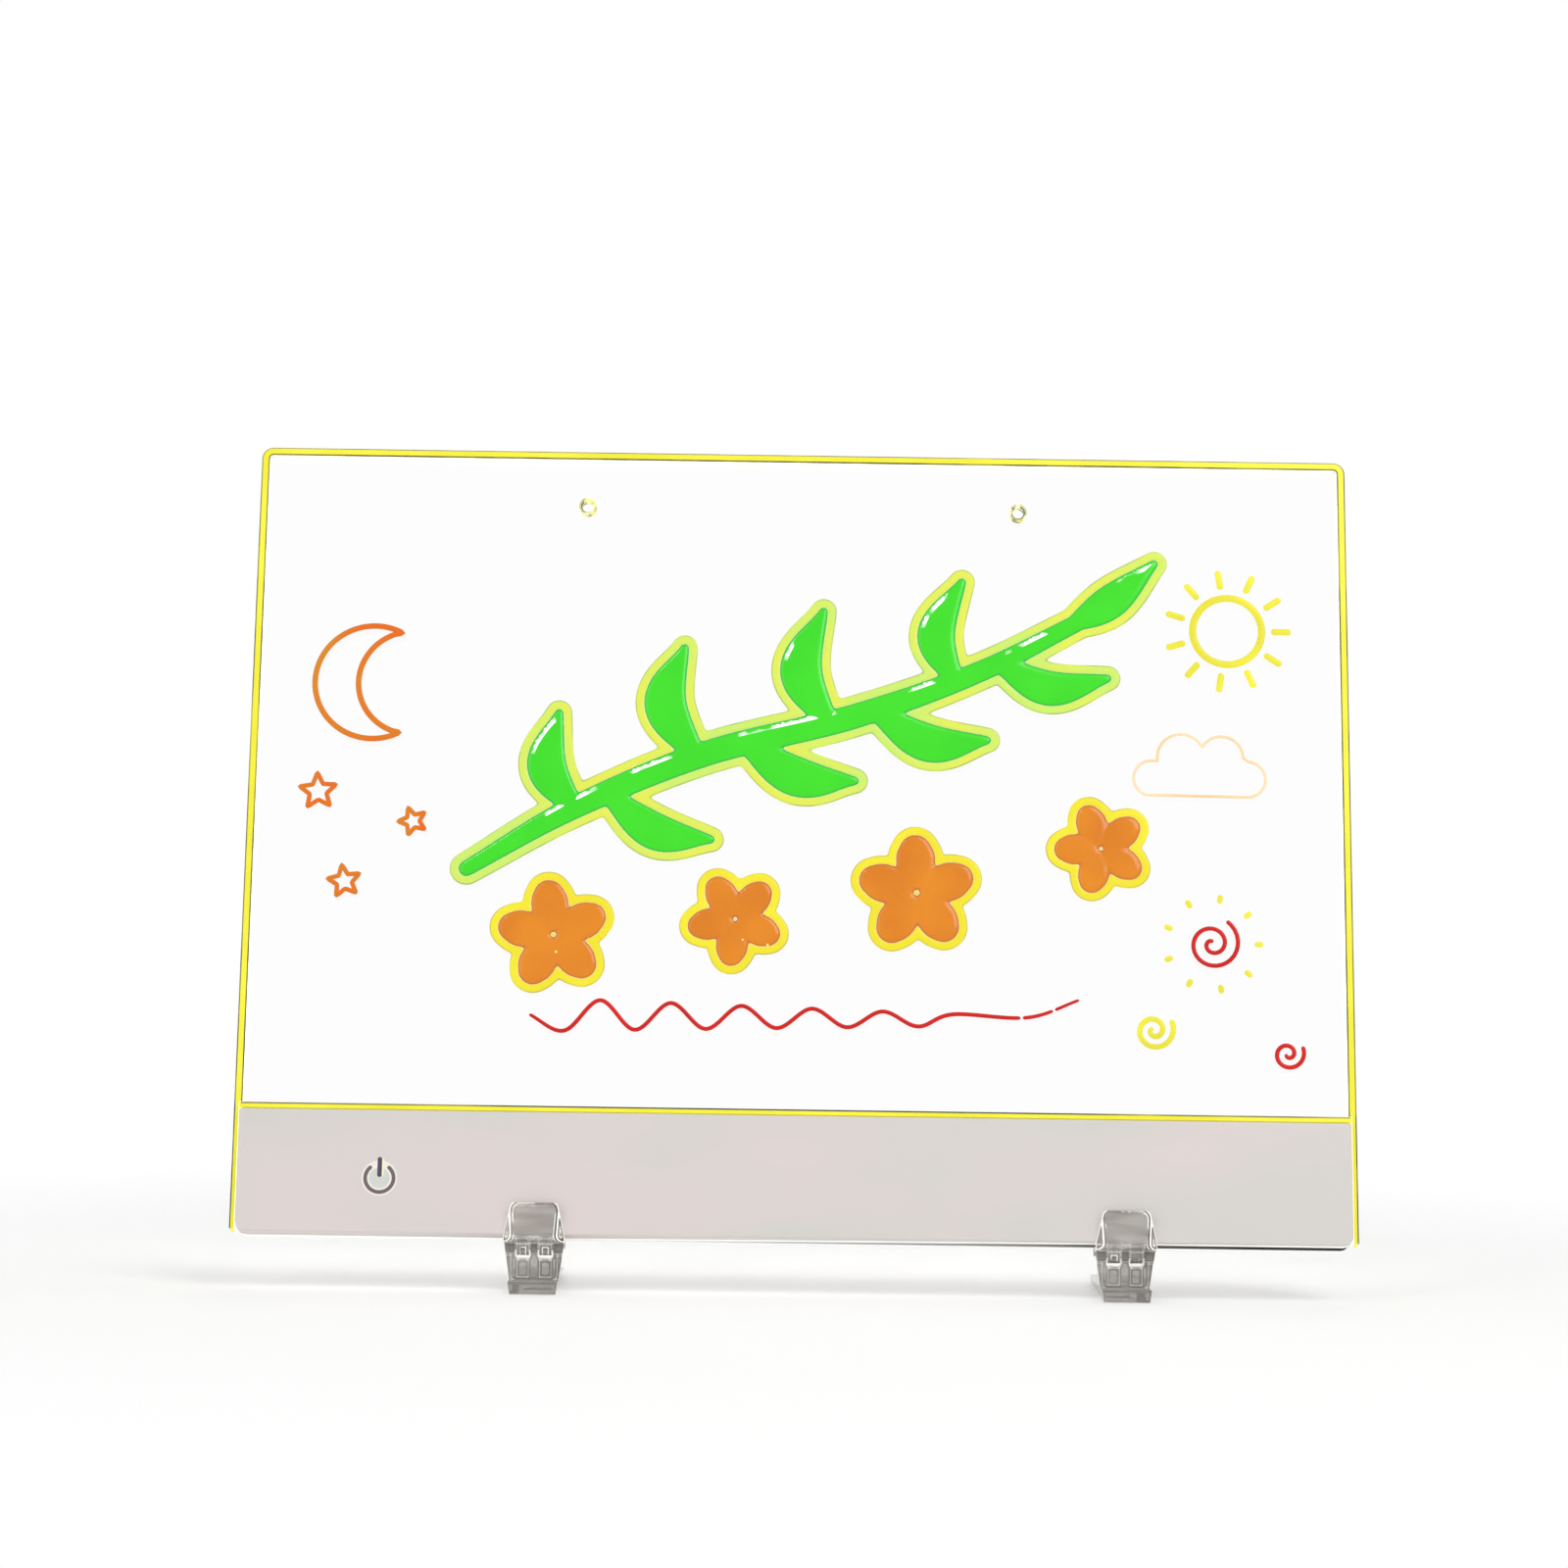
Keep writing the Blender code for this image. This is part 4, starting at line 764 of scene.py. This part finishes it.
def places_tree():
    """Sets a copy of one object at each point. With Turned on, its y points away from the middle."""
    tree, given = new_tree("set_in_places", ("Places", "Geometry"), ("Part", "Object"), ("Turned", "Bool"),
                           ("Look", "Material"))
    part = add(tree, "GeometryNodeObjectInfo", {"Object": given["Part"], "As Instance": True})
    place = add(tree, "GeometryNodeInputPosition")
    outward = add(tree, "FunctionNodeAlignRotationToVector", {"Vector": place}, axis="Y", pivot_axis="Z")
    turn = add(tree, "GeometryNodeSwitch", {"Switch": given["Turned"], "True": outward},
               input_type="ROTATION")
    spread = add(tree, "GeometryNodeInstanceOnPoints", {
        "Points": given["Places"], "Instance": part.outputs["Geometry"], "Rotation": turn})
    return close_tree(tree, spread, given["Look"])


PEN = pen_tree()
CHANNEL = channel_tree()
PLACES = places_tree()


def curve_of(name, runs, closed=False):
    """Curve object of runs of (x, y, pressure) points in a drawing's plane, in metres."""
    curve = bpy.data.curves.new(name, "CURVE")
    curve.dimensions = "3D"
    for run in runs:
        spline = curve.splines.new("POLY")
        spline.points.add(len(run) - 1)
        for point, (x, y, pressure) in zip(spline.points, run):
            point.co = (x, y, 0, 1)
            point.radius = pressure
        spline.use_cyclic_u = closed
    return in_scene(name, curve)


def set_in(places, part, look, turned_out=False):
    """Mesh of copies of an object at places, the object itself gone."""
    points = bpy.data.meshes.new("places")
    points.from_pydata(places, [], [])
    mesh = grown(in_scene("places", points), PLACES, part=part, turned=turned_out, look=LOOKS[look])
    bpy.data.objects.remove(part)
    return mesh


# Drawing tools: knots are (x, up, half width or pressure), in mm

def smooth(knots):
    """Points along a smooth curve through the knots, about half a millimetre apart."""
    knots = [Vector(knot) for knot in knots]
    ends = [knots[0] * 2 - knots[1], *knots, knots[-1] * 2 - knots[-2]]
    run = []
    for before, start, stop, after in zip(ends, ends[1:], ends[2:], ends[3:]):
        count = max(2, round((stop - start).xy.length / STROKE_STEP))
        for place in range(count):
            t = place / count
            bend = (2 * start + (stop - before) * t + (2 * before - 5 * start + 4 * stop - after) * t ** 2
                    + (3 * start - before - 3 * stop + after) * t ** 3)
            run.append(bend / 2)
    return [*run, knots[-1]]


def arc(x, y, radius, first=0, last=360, count=40):
    """Pen run round a centre, from one angle in degrees to another."""
    angles = [math.radians(first + (last - first) * n / count) for n in range(count + 1)]
    return [(*(Vector((x, y)) + radius * ray(angle)), 1.0) for angle in angles]


def drawn(name, runs, width, look, closed=False, thickness=INK_THICKNESS, face=SHEET_HALF_THICKNESS,
          step=PEN_STEP):
    """Piece of pen strokes on a face of the board."""
    source = curve_of(name, [[(x * MM, y * MM, pressure) for x, y, pressure in run] for run in runs], closed)
    mesh = grown(source, PEN, width=width * MM, thickness=thickness * MM, step=step * MM,
                 round_ends=0.0 if closed else 1.0, ink=LOOKS[look])
    mesh.transform(DRAWING @ Matrix.Translation((0, 0, face + INK_GAP)))
    piece(name, mesh, "board")


def rays_of(name, centre, radius, count, length, width, look):
    """Piece of short strokes in a ring that point away from a centre."""
    stroke = curve_of("mark", [[(0, end * length / 2 * MM, 1.0) for end in (-1, 1)]])
    mark = grown(stroke, PEN, width=width * MM, thickness=INK_THICKNESS * MM, step=RAY_STEP * MM,
                 round_ends=1.0, ink=LOOKS[look])
    places = [(*radius * MM * ray(math.tau * n / count), 0) for n in range(count)]
    mesh = set_in(places, in_scene("mark", mark), look, turned_out=True)
    mesh.transform(DRAWING @ Matrix.Translation((*(c * MM for c in centre), SHEET_HALF_THICKNESS + INK_GAP)))
    piece(name, mesh, "board")


def field_of(strokes, cell, margin):
    """Distance in mm from every point of a grid to the strokes' edge, below 0 inside them."""
    dots = [dot for stroke in strokes for dot in stroke]
    reach = max(dot.z for dot in dots) + margin
    low = Vector((min(d.x for d in dots) - reach, min(d.y for d in dots) - reach))
    high = Vector((max(d.x for d in dots) + reach, max(d.y for d in dots) + reach))
    across = low.x + cell * np.arange(int((high.x - low.x) / cell) + 2)
    up = low.y + cell * np.arange(int((high.y - low.y) / cell) + 2)
    field = np.full((len(across), len(up)), margin)
    for dot in dots:
        span = dot.z + margin
        i = slice(*np.searchsorted(across, (dot.x - span, dot.x + span)))
        j = slice(*np.searchsorted(up, (dot.y - span, dot.y + span)))
        away = np.hypot(across[i, None] - dot.x, up[None, j] - dot.y) - dot.z
        field[i, j] = np.minimum(field[i, j], away)
    # Three rounds of averaging with the four neighbours soften the drawing's inner corners
    for _ in range(3):
        beside = field[2:, 1:-1] + field[:-2, 1:-1] + field[1:-1, 2:] + field[1:-1, :-2]
        field[1:-1, 1:-1] = (field[1:-1, 1:-1] * 4 + beside) / 8
    return across, up, field


def puddle(across, up, field, shape, height, shoulder):
    """Closed thin body of ink wherever shape is below 0, flat beneath and rounded up to its height. Each
    vertex keeps its distance from the drawing's edge in mm, as reach, and how squarely that edge faces the
    side of the painted highlights, as facing."""
    bm = bmesh.new()
    marks = [bm.verts.layers.float.new(label) for label in ("reach", "facing")]
    slope = np.gradient(field, across[1] - across[0])
    steep = np.maximum(np.hypot(*slope), 0.2)
    grids = (field, (slope[0] * PAINTED_GLINT_SIDE[0] + slope[1] * PAINTED_GLINT_SIDE[1]) / steep)
    known = {}

    def corner(place, depth):
        """Top and bottom vertex at a place of the grid, or where its edge crosses 0."""
        if place not in known:
            (i, j), (k, l) = place
            share = 0.0
            # Kept off the grid's own points, so that no face is a sliver
            if (i, j) != (k, l):
                share = min(0.94, max(0.06, shape[i, j] / (shape[i, j] - shape[k, l])))
            x = across[i] + (across[k] - across[i]) * share
            y = up[j] + (up[l] - up[j]) * share
            rise = 1 - min(depth / shoulder, 1)
            top = PUDDLE_LIP + (height - PUDDLE_LIP) * math.sqrt(1 - rise * rise)
            known[place] = (bm.verts.new((x * MM, y * MM, top * MM)), bm.verts.new((x * MM, y * MM, 0)))
            for mark, grid in zip(marks, grids):
                for vertex in known[place]:
                    vertex[mark] = grid[i, j] + (grid[k, l] - grid[i, j]) * share
        return known[place]

    inside = shape < 0
    some = inside[:-1, :-1] | inside[1:, :-1] | inside[1:, 1:] | inside[:-1, 1:]
    for i, j in np.argwhere(some).tolist():
        corners = ((i, j), (i + 1, j), (i + 1, j + 1), (i, j + 1))
        ring = []
        for here, after in zip(corners, corners[1:] + corners[:1]):
            if inside[here]:
                ring.append((corner((here, here), -shape[here]), False))
            if inside[here] != inside[after]:
                ring.append((corner(tuple(sorted((here, after))), 0), True))
        bm.faces.new([pair[0] for pair, _ in ring])
        bm.faces.new([pair[1] for pair, _ in reversed(ring)])
        for (here, edge), (after, edge_after) in zip(ring, ring[1:] + ring[:1]):
            if edge and edge_after:
                bm.faces.new((here[0], here[1], after[1], after[0]))
    mesh = mesh_of("puddle", bm)
    mesh.transform(DRAWING @ Matrix.Translation((0, 0, SHEET_HALF_THICKNESS + INK_GAP)))
    return mesh


def filled_drawing(name, strokes, band, look):
    """Broad brush drawing: a puffed fill with an outline band of another ink round it."""
    across, up, field = field_of(strokes, PUDDLE_CELL, band + 2 * PUDDLE_CELL)
    fill = puddle(across, up, field, field, FILL_HEIGHT, FILL_SHOULDER)
    piece(f"{name}_fill", fill, "board", [look])
    ring = np.maximum(field - band, BAND_GAP - field)
    outline = puddle(across, up, field, ring, BAND_HEIGHT, BAND_SHOULDER)
    piece(f"{name}_outline", outline, "board", [f"{look}_band"])


# Clear sheet, rim and light bars

def clear_sheet():
    """The sheet with its tongue, two bevelled hanging holes and softened edges."""
    outline = arched(SHEET_HALF_WIDTH, SHEET_SHOULDER, SHEET_TOP, SHEET_CORNER, 8)
    outline += [(-TONGUE_HALF_WIDTH, SHEET_SHOULDER), (-TONGUE_HALF_WIDTH, SHEET_BOTTOM),
                (TONGUE_HALF_WIDTH, SHEET_BOTTOM), (TONGUE_HALF_WIDTH, SHEET_SHOULDER)]
    slab = mesh_of("slab", prism(outline, -SHEET_HALF_THICKNESS, SHEET_HALF_THICKNESS))
    waist = SHEET_HALF_THICKNESS - HOLE_CHAMFER
    end = SHEET_HALF_THICKNESS + OVERRUN
    flare = HOLE_RADIUS + HOLE_CHAMFER + OVERRUN
    rings = [(z, [radius] * HOLE_SIDES)
             for z, radius in ((-end, flare), (-waist, HOLE_RADIUS), (waist, HOLE_RADIUS), (end, flare))]
    holes = [turned(rings, (side * HOLE_X, HOLE_HEIGHT)) for side in (-1, 1)]
    mesh = cut(softened(slab, SHEET_EDGE), *holes)
    mesh.transform(DRAWING)
    piece("clear_sheet", mesh, "board", ["sheet"], ["drawing_sheet"])


def glowing_rim():
    """The channel, bent in one length, its legs cut away beside the strip. Its chamfers are painted as lines
    of shade, and the faces round its slot are painted nearly white with a glow of their own."""
    outline = arched(BOARD_HALF_WIDTH, RIM_END, BOARD_HEIGHT, RIM_CORNER, 14)
    deep, slot, chamfer = RIM_HALF_DEPTH, RIM_SLOT_HALF, RIM_CHAMFER
    side = [(0, deep - chamfer), (chamfer, deep), (RIM_FACE - chamfer, deep), (RIM_FACE, deep - chamfer),
            (RIM_FACE, slot), (RIM_WALL, slot)]
    section = side + [(x, -y) for x, y in reversed(side)]
    profile = curve_of("rim_section", [[(x, y, 1.0) for x, y in section]], closed=True)
    path = curve_of("rim_outline", [[(x, y, 1.0) for x, y in reversed(outline)]])
    bent = grown(path, CHANNEL, section=profile, look=LOOKS["rim"])
    bpy.data.objects.remove(profile)
    opening = block(BOARD_HALF_WIDTH - RIM_WALL, RIM_LEG_BOTTOM, -deep - OVERRUN, deep + OVERRUN)
    mesh = cut(bent, opening)
    mesh.transform(DRAWING)
    rim = piece("glowing_rim", mesh, "board", ["rim_line", "rim_slot"], ["edge_rim"])
    flat = DRAWING.inverted()
    middle = Vector((0, BOARD_HEIGHT / 2, 0))
    for face in rim.data.polygons:
        place, normal = flat @ face.center, flat.to_3x3() @ face.normal
        # Chamfers take the painted shade line; the shaded faces round the slot take the painted glow
        if 0.3 < abs(normal.z) < 0.95:
            face.material_index = 1
        elif abs(place.z) < deep - chamfer and normal @ (place - middle) < 0:
            face.material_index = 2


def light_bars():
    """The two bars over the strip, their upper edges chamfered and painted as a dark line of shade."""
    for side in ("front", "rear"):
        mesh = copy_of(f"{side}_light_bar")
        for look in ("rim", "bar_line"):
            mesh.materials.append(LOOKS[look])
        with editing(mesh) as bm:
            top = max(bm.faces, key=lambda face: face.normal @ BOARD.col[2].xyz)
            bmesh.ops.bevel(bm, geom=top.edges[:], offset=BAR_CHAMFER, segments=1, affect="EDGES", material=1)
        piece(f"{side}_glowing_bar", mesh, "board", (), [f"{side}_light_bar"], soft=False)


# Strip: covers, key print and screws

def covers():
    for side in ("front", "rear"):
        node = f"{side}_cover"
        piece(f"{side}_strip_cover", copy_of(node), "board", ["cover"], [node])


def key_print():
    """Generic on-off sign of the touch key: an open ring with a bar, printed on the strip's face."""
    x, y = KEY_X / MM, KEY_HEIGHT / MM
    ring = arc(x, y, KEY_RING_RADIUS / MM, 90 + KEY_HALF_GAP, 450 - KEY_HALF_GAP, 48)
    bar = [(x, y + end / MM, 1.0) for end in (KEY_BAR_LOW, KEY_BAR_HIGH)]
    for part, run, width in (("ring", ring, KEY_STROKE), ("bar", bar, KEY_BAR_WIDTH)):
        drawn(f"key_{part}_print", [run], width / MM, f"key_{part}", thickness=PRINT_THICKNESS,
              face=STRIP_FACE, step=FINE_STEP)


def screw_blank():
    """Self-tapping screw along z with its seat at 0: a thread round a pointed shank, and a pan head."""
    rings = []
    for step in range(round((SCREW_LENGTH - SCREW_NECK) / SCREW_PITCH * SCREW_STEPS) + 1):
        z = SCREW_PITCH * step / SCREW_STEPS - SCREW_LENGTH
        taper = min(1.0, SCREW_TIP_SHARE + (z + SCREW_LENGTH) / SCREW_TIP)
        phases = [(z / SCREW_PITCH - side / SCREW_SIDES) % 1 for side in range(SCREW_SIDES)]
        rings.append((z, [(SCREW_CORE + SCREW_THREAD * max(0, 1 - abs(phase - 0.5) * 4)) * taper
                          for phase in phases]))
    wide = SCREW_HEAD_RADIUS
    for z, radius in ((0, SCREW_CORE + SCREW_THREAD), (0, wide), (SCREW_RIM, wide),
                      (SCREW_HEAD - 0.25 * MM, wide - 0.16 * MM), (SCREW_HEAD, wide - 0.6 * MM)):
        rings.append((z, [radius] * SCREW_SIDES))
    return turned(rings)


def cover_screws():
    """The five screws, each with a cross recess in its head, turned round to the strip's back."""
    slots = [block(a, b, SCREW_HEAD - RECESS_DEPTH, 2 * SCREW_HEAD)
             for a, b in ((RECESS_REACH, RECESS_HALF_SLOT), (RECESS_HALF_SLOT, RECESS_REACH))]
    screw = in_scene("screw", cut(mesh_of("blank", screw_blank()), *slots))
    mesh = set_in([(-x, SCREW_HEIGHT, SCREW_SEAT) for x in SCREW_PLACES], screw, "screw")
    mesh.transform(DRAWING @ Matrix.Rotation(math.pi, 4, "Y"))
    nodes = [f"cover_screw_{number}" for number in range(1, 1 + len(SCREW_PLACES))]
    piece("cover_screws", mesh, "board", (), nodes)


# Clips and feet

def stand(side):
    """One clip with its foot, in clear plastic, and its pin, in ground steel with softened edges."""
    for part in ("clip", "foot"):
        name = f"{side}_{part}"
        mesh = with_edge_marks(copy_of(name), CLIP_X[side])
        piece(f"{name}_clear", mesh, name, [f"clear_{part}"], [name])
    pin = softened(copy_of(f"{side}_hinge_pin"), PIN_EDGE)
    piece(f"{side}_pin", pin, f"{side}_foot", ["pin"], [f"{side}_hinge_pin"])


# Drawings, in mm on the board

def sprig():
    """Leafy sprig in broad green brush strokes."""
    stem = [(-90, 100, 2.2), (-62, 117, 3.2), (-26, 133, 3.6), (14, 144, 3.5), (48, 157, 3.0), (78, 173, 2.4)]
    leaves = [
        [(-61, 117, 2.4), (-69, 129, 5.4), (-66, 144, 1.2)],
        [(-52, 121, 2.4), (-39, 111, 5.2), (-24, 109, 1.2)],
        [(-28, 132, 2.4), (-37, 147, 5.8), (-32, 163, 1.2)],
        [(-16, 137, 2.4), (-1, 127, 5.6), (15, 126, 1.2)],
        [(8, 142, 2.4), (0, 157, 5.8), (6, 174, 1.2)], [(20, 146, 2.4), (35, 137, 5.4), (51, 138, 1.2)],
        [(42, 155, 2.4), (37, 168, 5.2), (44, 183, 1.2)], [(54, 160, 2.4), (68, 153, 5.0), (84, 156, 1.2)],
        [(74, 171, 2.0), (85, 178, 4.8), (97, 189, 1.2)]]
    filled_drawing("green_sprig", [smooth(stroke) for stroke in (stem, *leaves)], GREEN_BAND, "green")


def flowers():
    """Row of simple five-petalled flowers in orange."""
    # How far out a petal's knots lie, and its half width there
    petal = ((3.4, 2.6), (8.2, 5.0), (11.2, 4.0))
    strokes = []
    for x, y, size, turn in ((-66, 82, 1.0, 8), (-17, 87, 0.86, 30), (32, 95, 1.06, 2), (82, 108, 0.84, 20)):
        for number in range(5):
            out = ray(math.radians(turn + 72 * number + 90)) * size
            strokes.append(smooth([(*(Vector((x, y)) + out * reach), half * size) for reach, half in petal]))
    filled_drawing("orange_flowers", strokes, ORANGE_BAND, "orange")


def curl(x, y, size, turns, start):
    """Pen run in a spiral that opens to its size."""
    shares = [n / 60 for n in range(3, 61)]
    offsets = [size * share * ray(start + math.tau * turns * share) for share in shares]
    return [(x + offset.x, y + offset.y, 1.0) for offset in offsets]


def star(x, y, size, turn):
    """Five-pointed star, turned by an angle in degrees."""
    corners = [ray(math.radians(turn + 90 + 36 * n)) * size * (0.46 if n % 2 else 1) for n in range(10)]
    return [(x + corner.x, y + corner.y, 0.8) for corner in corners]


def pen_drawings():
    """Thin pen drawings: a wave, a moon with stars, a sun, a cloud and curls."""
    crests = [(-72 + 9.5 * n, 60 + (4.6 - 0.25 * n) * (-1) ** n, 1.0) for n in range(1, 13)]
    wave = smooth([(-72, 60, 0.8), *crests, (62, 61, 0.9), (76, 66, 0.7)])
    # The pen skipped twice near the wave's end
    first, second = len(wave) - 34, len(wave) - 16
    drawn("red_wave", [wave[:first], wave[first:second], wave[second:]], 1.15, "red_line")

    moon = arc(-117, 152, 16, 62, 298, 48) + arc(-106.5, 152, 14.6, 254, 106)[1:-1]
    stars = [star(-131, 121, 5.2, 4), star(-105, 113, 4.0, 20), star(-123, 96, 4.6, 10)]
    drawn("orange_moon", [moon, *stars], 1.6, "orange_line", closed=True)

    drawn("yellow_sun", [arc(117, 170, 9.5, count=47)[:-1]], 2.0, "yellow_line", closed=True, thickness=0.22)
    rays_of("sun_rays", (117, 170), 14.8, 11, 5.5, 1.8, "yellow_line")
    bulges = ((96, 128, 5, 250, 95), (104, 134, 6.5, 190, 42), (115, 134, 6, 150, 0), (122, 128, 5, 85, -90))
    cloud = [point for bulge in bulges for point in arc(*bulge, 14)]
    drawn("pale_cloud", [cloud], 0.8, "pale_line", closed=True, thickness=0.15)

    drawn("red_curls", [curl(112, 82, 7.5, 2.1, 0.4), curl(132, 52, 4.5, 1.7, 2.4)], 1.2, "red_line")
    drawn("yellow_curl", [curl(96, 58, 5.5, 1.9, 1.2)], 1.5, "yellow_line")
    rays_of("yellow_dots", (112, 82), 12.6, 9, 2.4, 1.5, "yellow_line")


# Inner parts keep their solids and take a finish by a word of their names, the first that fits

INNER_LOOKS = {
    "rail": "white_rail", "board": "circuit_board", "lead_red": "red_wire", "lead_black": "black_wire",
    "chip": "black_chip", "spring": "bright_steel", "inlet": "bright_steel", "cell": "silver_cell",
    "tape": "foam_tape", "lamp": "lamp_package"}


def dress_inner_parts():
    for name, node in frame["nodes"].items():
        if not node.hide_render:
            look = next(look for word, look in INNER_LOOKS.items() if word in name)
            for slot in node.material_slots:
                slot.material = LOOKS[look]


clear_sheet()
glowing_rim()
light_bars()
covers()
key_print()
cover_screws()
stand("left")
stand("right")
sprig()
flowers()
pen_drawings()
dress_inner_parts()


# Floor, light and camera

def white_for_sight(tree):
    """1 for rays that see the background, straight or by mirror or glass, and 0 for rays that carry light."""
    path = add(tree, "LightPath").outputs
    seen = add(tree, "Math", (path["Is Camera Ray"], path["Is Glossy Ray"]), operation="MAXIMUM")
    return add(tree, "Math", (seen, path["Is Transmission Ray"]), operation="MAXIMUM")


def white_room():
    """Even white all round, which gives less light than it shows."""
    world = bpy.data.worlds.new("studio")
    bpy.context.scene.world = world
    world.use_nodes = True
    tree = world.node_tree
    strength = where(tree, (white_for_sight(tree), 0.0, 1.0, ROOM_LIGHT, 1.0))
    feed(tree, tree.nodes["Background"], {"Color": (1, 1, 1, 1), "Strength": strength})


def table():
    """Matt white table that fades into the white room."""
    bm = bmesh.new()
    bmesh.ops.create_circle(bm, cap_ends=True, segments=96, radius=FLOOR_RADIUS)
    floor = in_scene("floor", mesh_of("floor", bm))
    floor.location.z = -FLOOR_DROP
    paint, tree, shader = material("matt_white_table")
    tree.nodes.remove(shader)
    place = add(tree, "TexCoord").outputs["Object"]
    far = add(tree, "VectorMath", {0: place}, operation="LENGTH")
    fade = add(tree, "MapRange", (far, FADE_START, FADE_END), interpolation_type="SMOOTHSTEP")
    matt = add(tree, "BsdfDiffuse", {"Color": (0.86, 0.86, 0.86, 1)})
    lift = add(tree, "Emission", {"Strength": 0.22})
    lit = add(tree, "AddShader", (matt, lift))
    white = add(tree, "Emission", {"Strength": 1.0})
    mixed = add(tree, "MixShader", (where(tree, fade, white_for_sight(tree)), lit, white))
    feed(tree, tree.nodes["Material Output"], {"Surface": mixed})
    floor.data.materials.append(paint)


def lamps():
    for name, place, size, power in LAMPS:
        lamp = bpy.data.lights.new(name, "AREA")
        lamp.size = size
        lamp.energy = power
        obj = in_scene(name, lamp)
        obj.location = place
        obj.rotation_euler = (LAMPS_AIM - Vector(place)).to_track_quat("-Z", "Y").to_euler()


def camera():
    """Camera at the photograph's place: 1.2 m in front of the board, level, with a slight roll."""
    lens = bpy.data.cameras.new("camera")
    lens.sensor_width = 36
    lens.lens = CAMERA_LENS
    obj = in_scene("camera", lens)
    obj.matrix_world = (
        Matrix.Translation(BOARD_ORIGIN + CAMERA_OFFSET) @ Matrix.Rotation(CAMERA_YAW, 4, "Z")
        @ Matrix.Rotation(math.pi / 2, 4, "X") @ Matrix.Rotation(CAMERA_ROLL, 4, "Z"))
    bpy.context.scene.camera = obj


white_room()
table()
lamps()
camera()
bpy.context.scene.view_settings.view_transform = "Standard"
